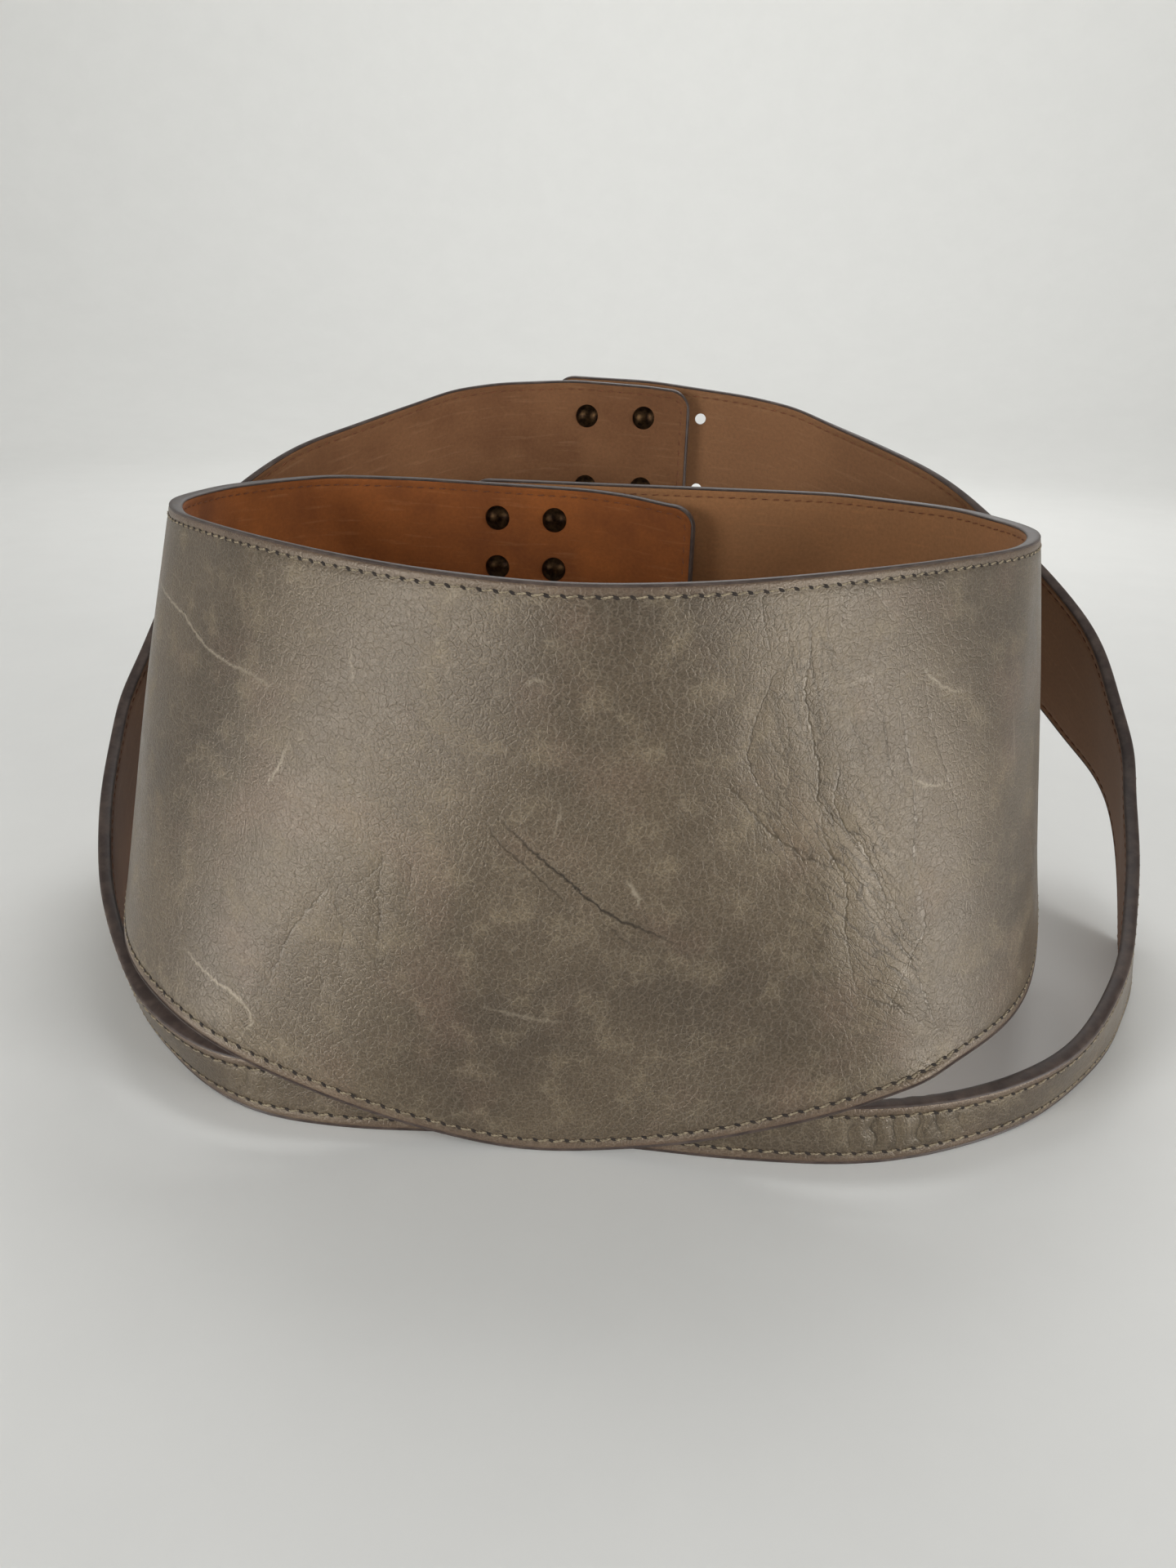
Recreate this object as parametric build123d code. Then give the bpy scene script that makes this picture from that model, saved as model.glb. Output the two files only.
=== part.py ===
"""Two-strap leather waist and hip belt, standing on its lower edges.

A wide front panel runs round the waist and narrows to two tabs that overlap at the back.  A second
strap is sewn behind the foot of the panel, rises along the hips and closes behind the first.
Every strap is three layers: outer leather, a stiffener and a lining.  The left tabs carry button
studs with domed screw backs, the right straps carry the holes, and each closure end is a wing on
an upright line where the leather bends.
"""
from build123d import *
from math import cos, radians, sin, sqrt
import os

# ---------------------------------------------------------------- driving dimensions, millimetres
LEATHER = 1.8              # outer leather
CORE = 0.9                 # stiffener between the skins
LINING = 1.2               # lining leather
GLUE = 0.05                # glue line between two layers
WALL = LEATHER + CORE + LINING + 2 * GLUE

RIM_Z = 143.0              # waist rim above the ground at the front
WAIST_TAB = 45.0           # width of the waist tabs
HIP_TAB = 54.0             # width of the hip tabs
SKIN_FOOT = 0.4            # core and lining stop this far above the leather's lower edge

LAP_GAP = 1.2              # room for the stud flanges between two overlapping tabs
WAIST_INNER_Y = 67.0       # outer face of the waist's inner tab where it lies flat
HIP_INNER_Y = 126.5        # outer face of the hip's inner tab where it lies flat
WAIST_OUTER_Y = WAIST_INNER_Y + LAP_GAP + WALL
HIP_OUTER_Y = HIP_INNER_Y + LAP_GAP + WALL

WAIST_PITCH = 21.0         # between stud columns on the waist strap
WAIST_COLUMNS = (-41.0, -41.0 + WAIST_PITCH)
WAIST_ROWS = (131.0, 113.0)
HIP_PITCH = 22.8           # between stud columns on the hip strap
HIP_COLUMNS = (-14.2, -14.2 + HIP_PITCH)
HIP_ROWS = (163.5, 136.0)
HOLE_COLUMNS = 3           # the straps have one column of holes more than the tabs have of studs

STRAP_HOLE = 5.6           # hole that a stud head buttons through, open as the leather gives
BARREL_HOLE = 3.6          # hole in the tab for the screw back's barrel
BARREL = 3.4
BACK_D = 8.8               # domed back on the lining side
BACK_H = 2.3
FLANGE_D = 7.0
FLANGE_H = 0.8
NECK = 2.8
HEAD = 4.0
BORE = 2.0
PIN = 1.8
PIN_LENGTH = 3.4
NECK_SPARE = 0.7           # neck showing outside the strap

HINGE_GAP = 3.8            # panel's end face to the bend line
WING_GAP = 0.25            # wing's end face to the bend line
STRAIGHT = 5.0             # straight leather on each side of a bend line
CORNER = 8.0               # corner radius of the tab ends
CORNER_STEPS = 4

# Bend lines: outer-face point, angle of the strap there from the X axis, top and bottom heights,
# how fast both edges climb along the strap, and how deep in the wall the line lies.
WAIST_LEFT = dict(x=-90.0, y=66.0, lean=-5.0, top=144.0, foot=98.5, rise=0.0, depth=0.0)
WAIST_RIGHT = dict(x=72.0, y=71.4, lean=5.0, top=144.0, foot=98.5, rise=0.0, depth=WALL / 2)
HIP_LEFT = dict(x=-72.0, y=125.4, lean=-6.0, top=170.5, foot=116.5, rise=-0.34, depth=0.0)
HIP_RIGHT = dict(x=72.0, y=130.6, lean=6.0, top=168.0, foot=114.5, rise=0.36, depth=WALL / 2)

# Stations of the waist panel from the middle of the front to the right side, outer face:
# top x, y, z, then bottom x, y, z.  The left half mirrors them.
WAIST_HALF = [
    (0.0, -100.0, RIM_Z, 0.0, -121.0, 0.0),
    (30.0, -96.0, 143.6, 27.0, -122.0, 4.0),
    (55.0, -86.0, 144.4, 52.0, -123.0, 12.0),
    (77.0, -73.0, 145.0, 76.0, -121.0, 20.0),
    (100.0, -54.0, 145.0, 100.0, -111.0, 27.0),
    (121.0, -31.0, 144.5, 123.0, -87.0, 30.0),
    (132.0, -5.0, 144.0, 140.0, -47.0, 32.0),
    (130.0, 24.0, 144.0, 147.0, 4.0, 42.0),
    (118.0, 46.0, 144.0, 128.0, 38.0, 72.0),
]
WAIST_BACK_RIGHT = [(97.0, 62.0, 144.0, 100.0, 61.5, 92.0)]
# Stations of the hip strap, right side and left side: the right hangs wider than the left.
HIP_FRONT = [
    (0.0, -113.2, 17.0, 0.0, -116.2, 0.0),
]
HIP_SIDE_RIGHT = [
    (27.0, -114.2, 17.0, 27.0, -117.5, 0.0),
    (52.0, -115.2, 17.0, 52.0, -118.5, 0.0),
    (76.0, -114.6, 16.5, 76.0, -117.5, 0.0),
    (99.0, -109.4, 16.0, 100.0, -110.6, 0.0),
    (122.0, -101.0, 16.5, 123.0, -99.0, 0.0),
    (143.0, -86.0, 20.0, 145.0, -79.0, 0.0),
    (160.0, -62.0, 29.0, 165.0, -52.0, 0.0),
    (172.0, -34.0, 41.0, 182.5, -20.0, 0.0),
    (179.0, -3.0, 57.0, 192.5, 10.0, 0.0),
    (182.0, 28.0, 78.0, 193.5, 50.0, 38.0),
    (175.0, 60.0, 103.0, 182.0, 86.0, 56.0),
    (158.0, 84.0, 123.0, 160.0, 106.0, 76.0),
    (132.0, 105.0, 144.0, 133.0, 112.0, 94.0),
    (103.0, 120.0, 157.0, 103.0, 122.0, 104.5),
]
HIP_SIDE_LEFT = [
    (27.0, -114.2, 17.0, 27.0, -117.5, 0.0),
    (52.0, -115.2, 17.0, 52.0, -118.5, 0.0),
    (74.0, -114.0, 16.5, 74.0, -116.0, 0.0),
    (93.0, -109.0, 16.0, 93.0, -106.5, 0.0),
    (113.0, -97.5, 18.0, 114.0, -89.0, 0.0),
    (128.0, -82.0, 22.0, 130.0, -70.0, 0.0),
    (142.0, -62.0, 29.0, 146.0, -48.0, 0.0),
    (156.0, -36.0, 41.0, 163.0, -20.0, 0.0),
    (165.5, -4.0, 57.0, 174.0, 10.0, 0.0),
    (169.0, 30.0, 80.0, 178.0, 52.0, 38.0),
    (167.0, 56.0, 100.0, 172.0, 78.0, 54.0),
    (157.0, 88.0, 128.0, 160.0, 100.0, 76.0),
    (136.0, 106.0, 146.0, 138.0, 111.0, 94.0),
    (106.0, 118.0, 158.5, 106.0, 120.0, 106.0),
]
SMOOTHING = 2              # lofted steps between two stations


# ---------------------------------------------------------------------------------- strap outlines
def mirrored(rows):
    """The same stations on the other side of the middle, in the opposite order."""
    return [(-r[0], r[1], r[2], -r[3], r[4], r[5]) for r in reversed(rows)]


def smoothed(rows, steps):
    """Stations with extra ones between them on a Catmull-Rom curve."""
    result = []
    for i in range(len(rows) - 1):
        before = rows[max(i - 1, 0)]
        start = rows[i]
        end = rows[i + 1]
        after = rows[min(i + 2, len(rows) - 1)]
        for k in range(steps):
            t = k / steps
            row = []
            for a, b, c, d in zip(before, start, end, after):
                row.append(0.5 * (2 * b + (c - a) * t + (2 * a - 5 * b + 4 * c - d) * t * t
                                  + (3 * b - a - 3 * c + d) * t ** 3))
            row[5] = max(row[5], 0.0)
            result.append(tuple(row))
    result.append(rows[-1])
    return result


def bend_row(bend, distance):
    """Upright station at a distance past a bend line, positive towards the left tab's hinge."""
    angle = radians(bend["lean"])
    x = bend["x"] - distance * cos(angle)
    y = bend["y"] + distance * sin(angle)
    climb = bend["rise"] * distance
    return (x, y, bend["top"] + climb, x, y, bend["foot"] + climb)


def upright(x, y, top, foot):
    """Station of an upright wall."""
    return (x, y, top, x, y, foot)


def rounded_end(row, toward):
    """Stations that round the two corners of a strap's end, from the full width to the tip."""
    dx = toward[0] - row[0]
    dy = toward[1] - row[1]
    length = sqrt(dx * dx + dy * dy)
    rows = []
    for k in range(CORNER_STEPS + 1):
        angle = radians(90.0 * k / CORNER_STEPS)
        along = CORNER * sin(angle)
        inset = CORNER * (1 - cos(angle)) * 0.96
        x = row[0] + dx * along / length
        y = row[1] + dy * along / length
        rows.append((x, y, row[2] - inset, x, y, row[5] + inset))
    return rows


def normals(rows):
    """Unit plan normals pointing away from the wearer, for stations that run anticlockwise."""
    result = []
    for i in range(len(rows)):
        a = rows[max(i - 1, 0)]
        b = rows[min(i + 1, len(rows) - 1)]
        dx = b[0] - a[0]
        dy = b[1] - a[1]
        length = sqrt(dx * dx + dy * dy)
        result.append((dy / length, -dx / length))
    return result


def layer(rows, outer, inner, foot_lift=0.0):
    """Solid between two depths below the outer face, lofted through every station."""
    sections = []
    for row, (nx, ny) in zip(rows, normals(rows)):
        top = Vector(row[0], row[1], row[2])
        foot = Vector(row[3], row[4], row[5])
        foot = foot + (top - foot).normalized() * foot_lift
        lid = top + (foot - top).normalized() * foot_lift
        near = Vector(-nx * outer, -ny * outer, 0)
        far = Vector(-nx * inner, -ny * inner, 0)
        corners = [lid + near, foot + near, foot + far, lid + far]
        sections.append(Face(Wire.make_polygon(corners, close=True)))
    return loft(sections, ruled=True)


def strap(rows):
    """Outer leather, stiffener and lining of one length of strap."""
    core_at = LEATHER + GLUE
    lining_at = core_at + CORE + GLUE
    return {
        "leather": layer(rows, 0.0, LEATHER),
        "stiffener": layer(rows, core_at, core_at + CORE, SKIN_FOOT),
        "lining": layer(rows, lining_at, lining_at + LINING, SKIN_FOOT),
    }


# --------------------------------------------------------------------------------- studs and holes
def hole_cutter(columns, rows, y, diameter):
    """Round cutters along Y through a flat tab whose outer face is at y."""
    cutters = []
    for x in columns:
        for z in rows:
            plane = Plane(origin=(x, y - WALL / 2, z), z_dir=(0, 1, 0))
            cutters.append(plane * Cylinder(diameter / 2, 3 * WALL))
    return cutters


def punched(layers, cutters):
    """Every layer of a strap with the cutters taken out."""
    result = {}
    for name, solid in layers.items():
        for cutter in cutters:
            solid = solid - cutter
        result[name] = solid
    return result


def stud(x, z, y):
    """Button stud that stands outwards on a tab whose outer face is at y."""
    base = y + GLUE
    reach = LAP_GAP - GLUE - FLANGE_H + WALL + NECK_SPARE
    head_at = base + FLANGE_H + reach + HEAD / 2 - 0.3
    along = Plane(origin=(x, base, z), z_dir=(0, 1, 0))
    start = (Align.CENTER, Align.CENTER, Align.MIN)
    body = along * Cylinder(FLANGE_D / 2, FLANGE_H, align=start)
    body = body + along * Cylinder(NECK / 2, FLANGE_H + reach, align=start)
    body = body + Pos(x, head_at, z) * Sphere(HEAD / 2)
    return body - along * Cylinder(BORE / 2, PIN_LENGTH + 0.4, align=start)


def stud_back(x, z, y):
    """Domed screw back on the lining side of a tab whose outer face is at y."""
    seat = y - WALL - GLUE
    profile_radius = (BACK_D ** 2 / 4 + BACK_H ** 2) / (2 * BACK_H)
    start = (Align.CENTER, Align.CENTER, Align.MIN)
    ball = Pos(x, seat + profile_radius - BACK_H, z) * Sphere(profile_radius)
    inwards = Plane(origin=(x, seat, z), z_dir=(0, -1, 0))
    dome = ball & (inwards * Cylinder(BACK_D, BACK_H + 1.0, align=start))
    outwards = Plane(origin=(x, seat, z), z_dir=(0, 1, 0))
    barrel = outwards * Cylinder(BARREL / 2, WALL + GLUE, align=start)
    pin = outwards * Cylinder(PIN / 2, WALL + GLUE + PIN_LENGTH, align=start)
    return dome + barrel + pin


def hole_columns(columns, pitch):
    """Columns of a strap's holes: those of the studs and the spare ones past them."""
    return [columns[0] + pitch * k for k in range(HOLE_COLUMNS)]


# ------------------------------------------------------------------------------------- the pieces
def waist_rows():
    """Stations of the waist band's panel and its two wings."""
    half = WAIST_HALF
    side = smoothed(mirrored(half[1:]) + half, SMOOTHING)
    panel = [bend_row(WAIST_LEFT, HINGE_GAP), bend_row(WAIST_LEFT, HINGE_GAP + STRAIGHT)]
    panel += side
    panel += WAIST_BACK_RIGHT
    panel += [bend_row(WAIST_RIGHT, -HINGE_GAP - STRAIGHT), bend_row(WAIST_RIGHT, -HINGE_GAP)]
    flat = WAIST_INNER_Y
    tip = upright(24.0, flat - 4.6, 138.5, 101.5)
    left = list(reversed(rounded_end(tip, (36.0, flat - 8.0))))
    left += [upright(9.0, flat - 1.6, 141.0, 99.5), upright(-8.0, flat, 142.5, 98.8)]
    left += [upright(-70.0, flat, 144.0, 99.0)]
    left += [bend_row(WAIST_LEFT, -STRAIGHT), bend_row(WAIST_LEFT, -WING_GAP)]
    flat = WAIST_OUTER_Y
    right = [bend_row(WAIST_RIGHT, WING_GAP), bend_row(WAIST_RIGHT, STRAIGHT)]
    right += [upright(52.0, flat, 144.0, 99.0)]
    end = upright(-45.0, flat, 144.0, 144.0 - WAIST_TAB)
    right += rounded_end(end, (-60.0, flat))
    return panel, left, right


def hip_rows():
    """Stations of the hip strap's front length and its two wings."""
    side = smoothed(mirrored(HIP_SIDE_LEFT) + HIP_FRONT + HIP_SIDE_RIGHT, SMOOTHING)
    front = [bend_row(HIP_LEFT, HINGE_GAP), bend_row(HIP_LEFT, HINGE_GAP + STRAIGHT)]
    front += side
    front += [bend_row(HIP_RIGHT, -HINGE_GAP - STRAIGHT), bend_row(HIP_RIGHT, -HINGE_GAP)]
    flat = HIP_INNER_Y
    tip = upright(19.0, flat - 0.8, 174.5, 122.0)
    left = list(reversed(rounded_end(tip, (36.0, flat - 2.0))))
    left += [upright(13.5, flat, 175.5, 122.5), upright(-20.0, flat, 177.0, 177.0 - HIP_TAB)]
    left += [upright(-50.0, flat, 175.0, 120.5)]
    left += [bend_row(HIP_LEFT, -STRAIGHT), bend_row(HIP_LEFT, -WING_GAP)]
    flat = HIP_OUTER_Y
    right = [bend_row(HIP_RIGHT, WING_GAP), bend_row(HIP_RIGHT, STRAIGHT)]
    right += [upright(50.0, flat, 173.0, 119.5)]
    right += [upright(10.0, flat, 177.5, 177.5 - HIP_TAB)]
    end = upright(-20.0, flat, 178.5, 178.5 - HIP_TAB)
    right += rounded_end(end, (-40.0, flat))
    return front, left, right


def build():
    """Every node of the belt by name, before the origin is placed."""
    nodes = {}
    waist_panel, waist_left, waist_right = waist_rows()
    hip_front, hip_left, hip_right = hip_rows()
    lengths = [
        ("waist_panel", waist_panel, []),
        ("waist_tab", waist_left,
         hole_cutter(WAIST_COLUMNS, WAIST_ROWS, WAIST_INNER_Y, BARREL_HOLE)),
        ("waist_strap", waist_right,
         hole_cutter(hole_columns(WAIST_COLUMNS, WAIST_PITCH), WAIST_ROWS, WAIST_OUTER_Y, STRAP_HOLE)),
        ("hip_front", hip_front, []),
        ("hip_tab", hip_left,
         hole_cutter(HIP_COLUMNS, HIP_ROWS, HIP_INNER_Y, BARREL_HOLE)),
        ("hip_strap", hip_right,
         hole_cutter(hole_columns(HIP_COLUMNS, HIP_PITCH), HIP_ROWS, HIP_OUTER_Y, STRAP_HOLE)),
    ]
    for name, rows, cutters in lengths:
        for part, solid in punched(strap(rows), cutters).items():
            nodes[name + "_" + part] = solid
    closures = [
        ("waist", WAIST_COLUMNS, WAIST_ROWS, WAIST_INNER_Y),
        ("hip", HIP_COLUMNS, HIP_ROWS, HIP_INNER_Y),
    ]
    for name, columns, rows, y in closures:
        places = [(x, z) for z in rows for x in columns]
        for number, (x, z) in enumerate(places, start=1):
            nodes[f"{name}_stud_{number}"] = stud(x, z, y)
            nodes[f"{name}_stud_back_{number}"] = stud_back(x, z, y)
    return nodes


def axis_point(bend):
    """Point of a bend line at its depth in the wall."""
    angle = radians(bend["lean"])
    return (bend["x"] - sin(angle) * bend["depth"], bend["y"] - cos(angle) * bend["depth"])


def main():
    """Move the belt's box to stand on the origin and write one STEP per node."""
    nodes = build()
    boxes = [solid.bounding_box() for solid in nodes.values()]
    low = Vector(*(min(getattr(box.min, axis) for box in boxes) for axis in "XYZ"))
    high = Vector(*(max(getattr(box.max, axis) for box in boxes) for axis in "XYZ"))
    shift = Vector(-(low.X + high.X) / 2, -(low.Y + high.Y) / 2, -low.Z)
    os.makedirs("parts", exist_ok=True)
    for name, solid in nodes.items():
        export_step(solid.moved(Location(shift)), f"parts/{name}.step")
    print("shift", tuple(round(v, 4) for v in shift), "size", tuple(round(v, 3) for v in high - low))
    for name, bend in (("waist_left", WAIST_LEFT), ("waist_right", WAIST_RIGHT),
                       ("hip_left", HIP_LEFT), ("hip_right", HIP_RIGHT)):
        x, y = axis_point(bend)
        print(name, round(x + shift.X, 4), round(y + shift.Y, 4))


main()
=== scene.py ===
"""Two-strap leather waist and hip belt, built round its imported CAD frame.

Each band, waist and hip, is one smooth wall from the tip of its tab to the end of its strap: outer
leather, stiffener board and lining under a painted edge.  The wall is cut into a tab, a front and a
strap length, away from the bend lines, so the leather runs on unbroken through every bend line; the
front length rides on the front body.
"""
import sys
import logging
import math
from dataclasses import dataclass
from enum import Enum
from functools import partial
from typing import Any, Callable, Sequence

import bmesh
import bpy
import numpy as np
from mathutils import Matrix, Vector


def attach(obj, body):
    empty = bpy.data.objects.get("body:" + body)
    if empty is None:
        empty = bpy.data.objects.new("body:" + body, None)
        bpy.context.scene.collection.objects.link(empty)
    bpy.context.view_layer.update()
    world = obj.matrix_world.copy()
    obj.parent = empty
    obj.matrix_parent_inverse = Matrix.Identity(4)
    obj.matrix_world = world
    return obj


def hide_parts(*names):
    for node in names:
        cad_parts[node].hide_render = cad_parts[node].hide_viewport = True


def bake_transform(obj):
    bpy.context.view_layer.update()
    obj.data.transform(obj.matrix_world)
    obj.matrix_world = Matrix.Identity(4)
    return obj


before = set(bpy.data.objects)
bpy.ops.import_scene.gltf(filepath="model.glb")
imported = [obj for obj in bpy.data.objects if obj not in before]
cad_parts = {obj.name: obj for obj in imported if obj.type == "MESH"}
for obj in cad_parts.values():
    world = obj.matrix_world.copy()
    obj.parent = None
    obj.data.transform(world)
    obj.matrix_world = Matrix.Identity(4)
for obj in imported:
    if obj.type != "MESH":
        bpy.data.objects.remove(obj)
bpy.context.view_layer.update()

LOG = logging.getLogger("belt")

# ------------------------------------------------------------------------ shared sizes, millimetres
MM = 0.001
ORIGIN = np.array([-8.1719, -6.55, 0.0])  # belt's own middle to the frame's origin
LEATHER = 1.8
BOARD = 0.9
LINING = 1.2
GLUE = 0.05
WALL = LEATHER + BOARD + LINING + 2 * GLUE
LAP_GAP = 1.2
CORNER = 8.0
SHARP = math.radians(52)    # edges that turn more than this stay crisp
CORNER_SQUASH = 0.96        # the corner stops just short of a quarter circle
EDGE = 0.6                  # painted edge standing past the cut layers
STITCH_INSET = 3.2
STITCH_PITCH = 4.0
THREAD_SINK = 0.28          # depth of a top stitch's foot under the wall's outer face
LINING_THREAD_SINK = 0.22
# depth of the painted-shade lens in each awl hole, under the outer face
HOLE_SHADE_SINK = 0.24
RIM_DROP = 0.5              # the face rounds down this far at its rim
RIM_ROUND = 1.3             # width of that rounding
CHANNEL = 0.32              # the thread pulls a channel this deep
CHANNEL_HALF = 0.85
HOLE_SIDES = 28
CUTTER = 24.0               # length of the cutter of a hole
COLUMN = 1.2                # finest mesh step along a band
ROW = 1.3                   # finest mesh step across a band
BEND_REACH = 6.0            # places this far each side of a bend line are looked up, then left unused
CUT_REACH = 14.0            # the cut between two lengths, on the rigid side of a bend line
TABLE = 0.05                # nothing soft goes lower than this
VALLEY = 0.36               # share of a fold's depth that the stiffened wall lets through
# Slow waves of the wall: height, then run along and down for a radian, then phase.
WAVES = ((0.35, 23.0, 41.0, 0.0), (0.28, 13.7, -29.0, 1.3), (0.16, 7.3, 17.0, 0.4))
CALMING = 45.0              # the relief dies away over this run before a calm stretch
TIP_SHARE = 0.6             # share of a corner's inset that is added to the distance from a tip
HIDDEN_ROWS = 6             # the hidden face keeps one row in this many

Row = tuple[float, float, float, float, float, float]
Array = np.ndarray
Adder = Callable[..., bpy.types.Node]


# --------------------------------------------------------------------------------- stations
@dataclass(frozen=True)
class BendLine:
    """Upright line where a strap bends: outer-face point, lean in plan, edge heights, climb."""
    x: float
    y: float
    lean: float
    top: float
    foot: float
    climb: float = 0.0

    def station(self, distance: float) -> Row:
        """Upright station past the line.

        Args:
            distance: Millimetres, positive against the X axis.

        Returns:
            Top point, then foot point.
        """
        angle = math.radians(self.lean)
        x = self.x - distance * math.cos(angle)
        y = self.y + distance * math.sin(angle)
        rise = self.climb * distance
        return (x, y, self.top + rise, x, y, self.foot + rise)


def upright(x: float, y: float, top: float, foot: float) -> Row:
    """Station of an upright wall."""
    return (x, y, top, x, y, foot)


def mirrored(rows: Sequence[Row]) -> list[Row]:
    """The same stations on the other side of the middle, in the opposite order."""
    return [(-r[0], r[1], r[2], -r[3], r[4], r[5]) for r in reversed(rows)]


def subdivided(rows: Sequence[Row], step: float) -> list[Row]:
    """Stations with more between them in straight lines, so that a spline keeps the flats flat.

    Args:
        rows: Stations in order.
        step: Longest gap that may stay.

    Returns:
        The denser stations.
    """
    made = [rows[0]]
    for a, b in zip(rows, rows[1:]):
        parts = max(1, math.ceil(math.dist(a[:2], b[:2]) / step))
        for k in range(1, parts + 1):
            made.append(tuple(p + (q - p) * k / parts for p, q in zip(a, b)))
    return made


def smooth_path(points: Array, step: float, sigma: float) -> Array:
    """Cubic path through stations, then a gentle Gaussian average along it.

    Args:
        points: Stations, one per line, top and foot point.
        step: Millimetres between samples.
        sigma: Millimetres of averaging.

    Returns:
        The samples, one per line.
    """
    middle = (points[:, :3] + points[:, 3:]) / 2
    gaps = np.linalg.norm(np.diff(middle, axis=0), axis=1)
    knots = np.concatenate([[0.0], np.cumsum(gaps)])
    slopes = np.diff(points, axis=0) / gaps[:, None]
    inner = slopes[:-1] * gaps[1:, None] + slopes[1:] * gaps[:-1, None]
    inner = inner / (gaps[:-1] + gaps[1:])[:, None]
    tangents = np.vstack([slopes[:1], inner, slopes[-1:]])
    along = np.linspace(0.0, knots[-1], int(knots[-1] / step) + 1)
    index = np.clip(np.searchsorted(knots, along, "right") - 1, 0, len(gaps) - 1)
    t = ((along - knots[index]) / gaps[index])[:, None]
    h = gaps[index][:, None]
    values = ((2 * t ** 3 - 3 * t ** 2 + 1) * points[index]
              + (t ** 3 - 2 * t ** 2 + t) * h * tangents[index]
              + (3 * t ** 2 - 2 * t ** 3) * points[index + 1]
              + (t ** 3 - t ** 2) * h * tangents[index + 1])
    reach = int(3 * sigma / step)
    kernel = np.exp(-0.5 * (np.arange(-reach, reach + 1) * step / sigma) ** 2)
    kernel /= kernel.sum()
    head = 2 * values[0] - values[reach:0:-1]
    tail = 2 * values[-1] - values[-2:-reach - 2:-1]
    padded = np.concatenate([head, values, tail])
    return np.stack([np.convolve(padded[:, k], kernel, "valid") for k in range(6)], axis=1)


# ------------------------------------------------------------------------------------ marks
class MarkKind(Enum):
    """Names of the mesh attributes that carry the marks to the finish."""
    FOLD = "fold"
    FOLD_BESIDE = "fold_beside"
    SCRATCH = "scratch"


@dataclass(frozen=True)
class Mark:
    """Line that use has left on the leather.

    Its points are X and Z on the front wall.  strength drives the finish, and valley and reach are
    the depth and half width of the dip round it.
    """
    points: tuple[tuple[float, float], ...]
    kind: MarkKind = MarkKind.FOLD
    strength: float = 1.0
    valley: float = 0.0
    reach: float = 3.0


@dataclass(frozen=True)
class Swell:
    """Soft rise or dip of the wall: middle as X and Z, height, and half sizes along and across."""
    x: float
    z: float
    height: float
    along: float
    across: float


def line_distance(line: Array, a: Array, w: Array) -> tuple[Array, Array]:
    """Signed distance to a line of points, and how far along it the nearest point lies.

    Args:
        line: Points, one per line.
        a: First coordinates.
        w: Second coordinates.

    Returns:
        Distances, and fractions of the line's length.
    """
    best = np.full(a.shape, 1e6)
    side = np.ones(a.shape)
    place = np.zeros(a.shape)
    lengths = np.linalg.norm(np.diff(line, axis=0), axis=1)
    total = lengths.sum()
    done = 0.0
    for (pa, pw), (qa, qw), length in zip(line, line[1:], lengths):
        da, dw = (qa - pa) / length, (qw - pw) / length
        t = np.clip((a - pa) * da + (w - pw) * dw, 0, length)
        ra, rw = a - pa - da * t, w - pw - dw * t
        distance = np.hypot(ra, rw)
        nearer = distance < best
        best = np.where(nearer, distance, best)
        side = np.where(nearer, np.where(da * rw - dw * ra < 0, -1.0, 1.0), side)
        place = np.where(nearer, (done + t) / total, place)
        done += length
    return best * side, place


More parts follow.
